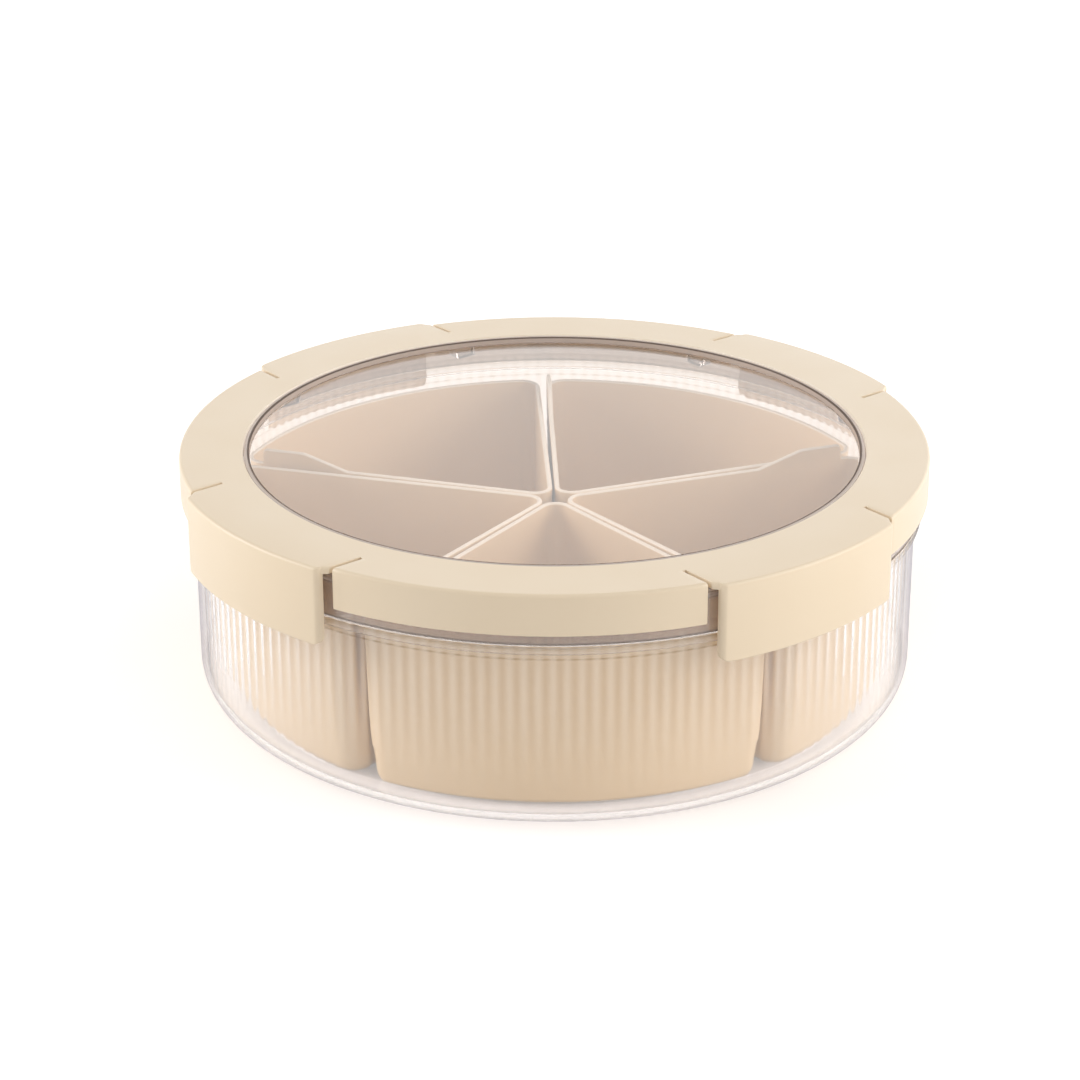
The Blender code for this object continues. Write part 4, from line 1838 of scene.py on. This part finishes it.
@dataclass
class SealRing:
    """Soft milky ring between the bowl's rim and the plate."""

    datum: Datum
    finishes: Finishes
    width: float = 4.6 * MM
    edge: float = 0.5 * MM
    steps: int = 240

    def build(self) -> bpy.types.Object:
        """Build the seal and hang it on the lid.

        Returns:
            The finished piece.
        """
        inner = self.datum.seal_radius - self.width
        low, high = self.datum.seal_bottom, self.datum.seal_top
        corners = [
            (inner, low, self.edge),
            (self.datum.seal_radius, low, self.edge),
            (self.datum.seal_radius, high, self.edge),
            (inner, high, self.edge),
        ]
        bm = spin_outline(rounded(corners, closed=True), closed=True, steps=self.steps)
        piece = finish_piece(bm, "milky_seal", self.finishes.seal)
        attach(piece, "lid")
        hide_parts("seal_ring")
        return piece


@dataclass(frozen=True)
class Panel:
    """One soft light: where it hangs, its size and its strength."""

    name: str
    place: tuple[float, float, float]
    size: tuple[float, float]
    power: float

    def hang(self, target: Vector) -> None:
        """Make the light and aim it at target.

        Args:
            target: The point that it lights.
        """
        lamp = bpy.data.lights.new(self.name, "AREA")
        lamp.shape = "RECTANGLE"
        lamp.size, lamp.size_y = self.size
        lamp.energy = self.power
        item = bpy.data.objects.new(self.name, lamp)
        bpy.context.scene.collection.objects.link(item)
        item.location = self.place
        item.rotation_euler = (target - Vector(self.place)).to_track_quat("-Z", "Y").to_euler()


@dataclass
class Studio:
    """Pale floor, soft lights and the camera at the photograph's view."""

    datum: Datum
    image_side: float = 1080.0
    focal_pixels: float = 2774.0
    sensor: float = 36.0
    distance: float = 1.0194
    azimuth: float = math.radians(5.45)
    elevation: float = math.radians(21.64)
    centre_pixel: Point = (554.5, 438.5)
    floor_half: float = 6.0
    floor_drop: float = 0.2 * MM
    floor_lift: Point = (0.26, 0.9)
    lift_reach: Point = (0.35, 1.0)
    world_level: float = 0.32

    def camera(self) -> None:
        """Place the camera, aimed at the middle of the ring's top."""
        target = Vector((0.0, 0.0, self.datum.ring_top))
        level = heading(self.azimuth) * math.cos(self.elevation)
        back = level + Vector((0.0, 0.0, math.sin(self.elevation)))
        data = bpy.data.cameras.new("photo_view")
        data.sensor_width = self.sensor
        data.lens = self.sensor * self.focal_pixels / self.image_side
        middle = 0.5 * self.image_side
        data.shift_x = (middle - self.centre_pixel[0]) / self.image_side
        data.shift_y = (self.centre_pixel[1] - middle) / self.image_side
        item = bpy.data.objects.new("photo_view", data)
        bpy.context.scene.collection.objects.link(item)
        item.location = target + back * self.distance
        item.rotation_euler = (-back).to_track_quat("-Z", "Y").to_euler()
        bpy.context.scene.camera = item

    @staticmethod
    def seen_rays(wiring: Wiring) -> bpy.types.NodeSocket:
        """1 for rays from the camera, in a reflection or through glass, else 0.

        Args:
            wiring: The node tree that takes the nodes.

        Returns:
            The socket that carries it.
        """
        path = wiring.add("LightPath")
        seen = wiring.maths("MAXIMUM", path.outputs["Is Camera Ray"], path.outputs["Is Glossy Ray"])
        return wiring.maths("MAXIMUM", seen, path.outputs["Is Transmission Ray"])

    def floor(self) -> None:
        """A pale floor that looks white and still takes the tray's shadow."""
        material, wiring, output = blank_material("paper_floor")
        material.cycles.emission_sampling = "NONE"
        diffuse = wiring.add("BsdfDiffuse")
        diffuse.inputs["Color"].default_value = Tone.PAPER.rgba
        glow = wiring.add("Emission")
        glow.inputs["Color"].default_value = Tone.WHITE.rgba
        away = wiring.add("VectorMath", operation="LENGTH")
        wiring.join(wiring.add("TexCoord").outputs["Object"], away.inputs[0])
        lift = wiring.ramp(away.outputs["Value"], self.lift_reach, self.floor_lift)
        wiring.join(wiring.maths("MULTIPLY", self.seen_rays(wiring), lift), glow.inputs["Strength"])
        both = wiring.add("AddShader")
        wiring.join(diffuse.outputs[0], both.inputs[0])
        wiring.join(glow.outputs[0], both.inputs[1])
        wiring.join(both.outputs[0], output.inputs["Surface"])
        bm = bmesh.new()
        below = Matrix.Translation((0.0, 0.0, -self.floor_drop))
        bmesh.ops.create_grid(bm, x_segments=1, y_segments=1, size=self.floor_half, matrix=below)
        finish_piece(bm, "floor", material)

    def world(self) -> None:
        """White all round for what is seen, and a plain level for what it lights."""
        world = bpy.data.worlds.new("studio")
        world.use_nodes = True
        world.node_tree.nodes.clear()
        wiring = Wiring(world.node_tree)
        output = wiring.add("OutputWorld")
        seen = wiring.add("Background")
        lit = wiring.add("Background")
        seen.inputs["Strength"].default_value = 1.0
        lit.inputs["Strength"].default_value = self.world_level
        for node in (seen, lit):
            node.inputs["Color"].default_value = Tone.WHITE.rgba
        mixed = wiring.mix(self.seen_rays(wiring), lit, seen)
        wiring.join(mixed.outputs[0], output.inputs["Surface"])
        bpy.context.scene.world = world

    def lights(self) -> None:
        """Soft panels: a strong one each side, and weaker ones in front and behind."""
        target = Vector((0.0, 0.0, 0.5 * self.datum.ring_top))
        panels = (
            Panel("left_panel", (-1.2, -0.1, 0.55), (0.9, 0.9), 13.0),
            Panel("right_panel", (1.2, -0.1, 0.55), (0.9, 0.9), 9.5),
            Panel("front_panel", (0.2, -0.9, 1.1), (1.0, 1.0), 2.6),
            Panel("front_right_panel", (1.0, -0.9, 0.5), (0.8, 0.8), 2.2),
            Panel("back_right_panel", (0.9, 0.9, 0.6), (0.9, 0.9), 4.0),
            Panel("back_panel", (0.0, 1.4, 0.7), (1.0, 0.8), 1.2),
        )
        for panel in panels:
            panel.hang(target)

    def build(self) -> None:
        """Build the whole studio."""
        self.camera()
        self.floor()
        self.world()
        self.lights()
        bpy.context.scene.view_settings.view_transform = "Standard"


@dataclass
class NutTray:
    """The whole tray, from the bowl up."""

    datum: Datum
    finishes: Finishes
    box_count: int = 5
    box_turn: float = math.radians(7.75)

    def builders(self) -> list[Callable[[], bpy.types.Object]]:
        """The build calls of every piece, in order.

        Returns:
            The calls, each of which gives its piece.
        """
        datum, finishes, sizes = self.datum, self.finishes, LidSizes()
        calls = [Bowl(datum, finishes).build]
        for i in range(self.box_count):
            azimuth = self.box_turn + TURN * i / self.box_count
            calls.append(WedgeBox(datum, finishes, i + 1, azimuth).build)
        calls.append(SealRing(datum, finishes).build)
        calls.append(LidPlate(datum, finishes, sizes).build)
        calls.append(LidRing(datum, finishes, sizes).build)
        for quadrant in Quadrant:
            calls.append(Latch(datum, finishes, sizes, quadrant).build)
            calls.append(HingeSkin(datum, finishes, sizes, quadrant).build)
        return calls


def main() -> None:
    """Build the studio and the tray, and report each piece."""
    logging.basicConfig(level=logging.INFO, format="%(message)s")
    datum = Datum.from_frame()
    Studio(datum).build()
    for build in NutTray(datum, Finishes.make()).builders():
        piece = build()
        LOG.info("%s rides in place", piece.name)


if __name__ == "__main__":
    main()
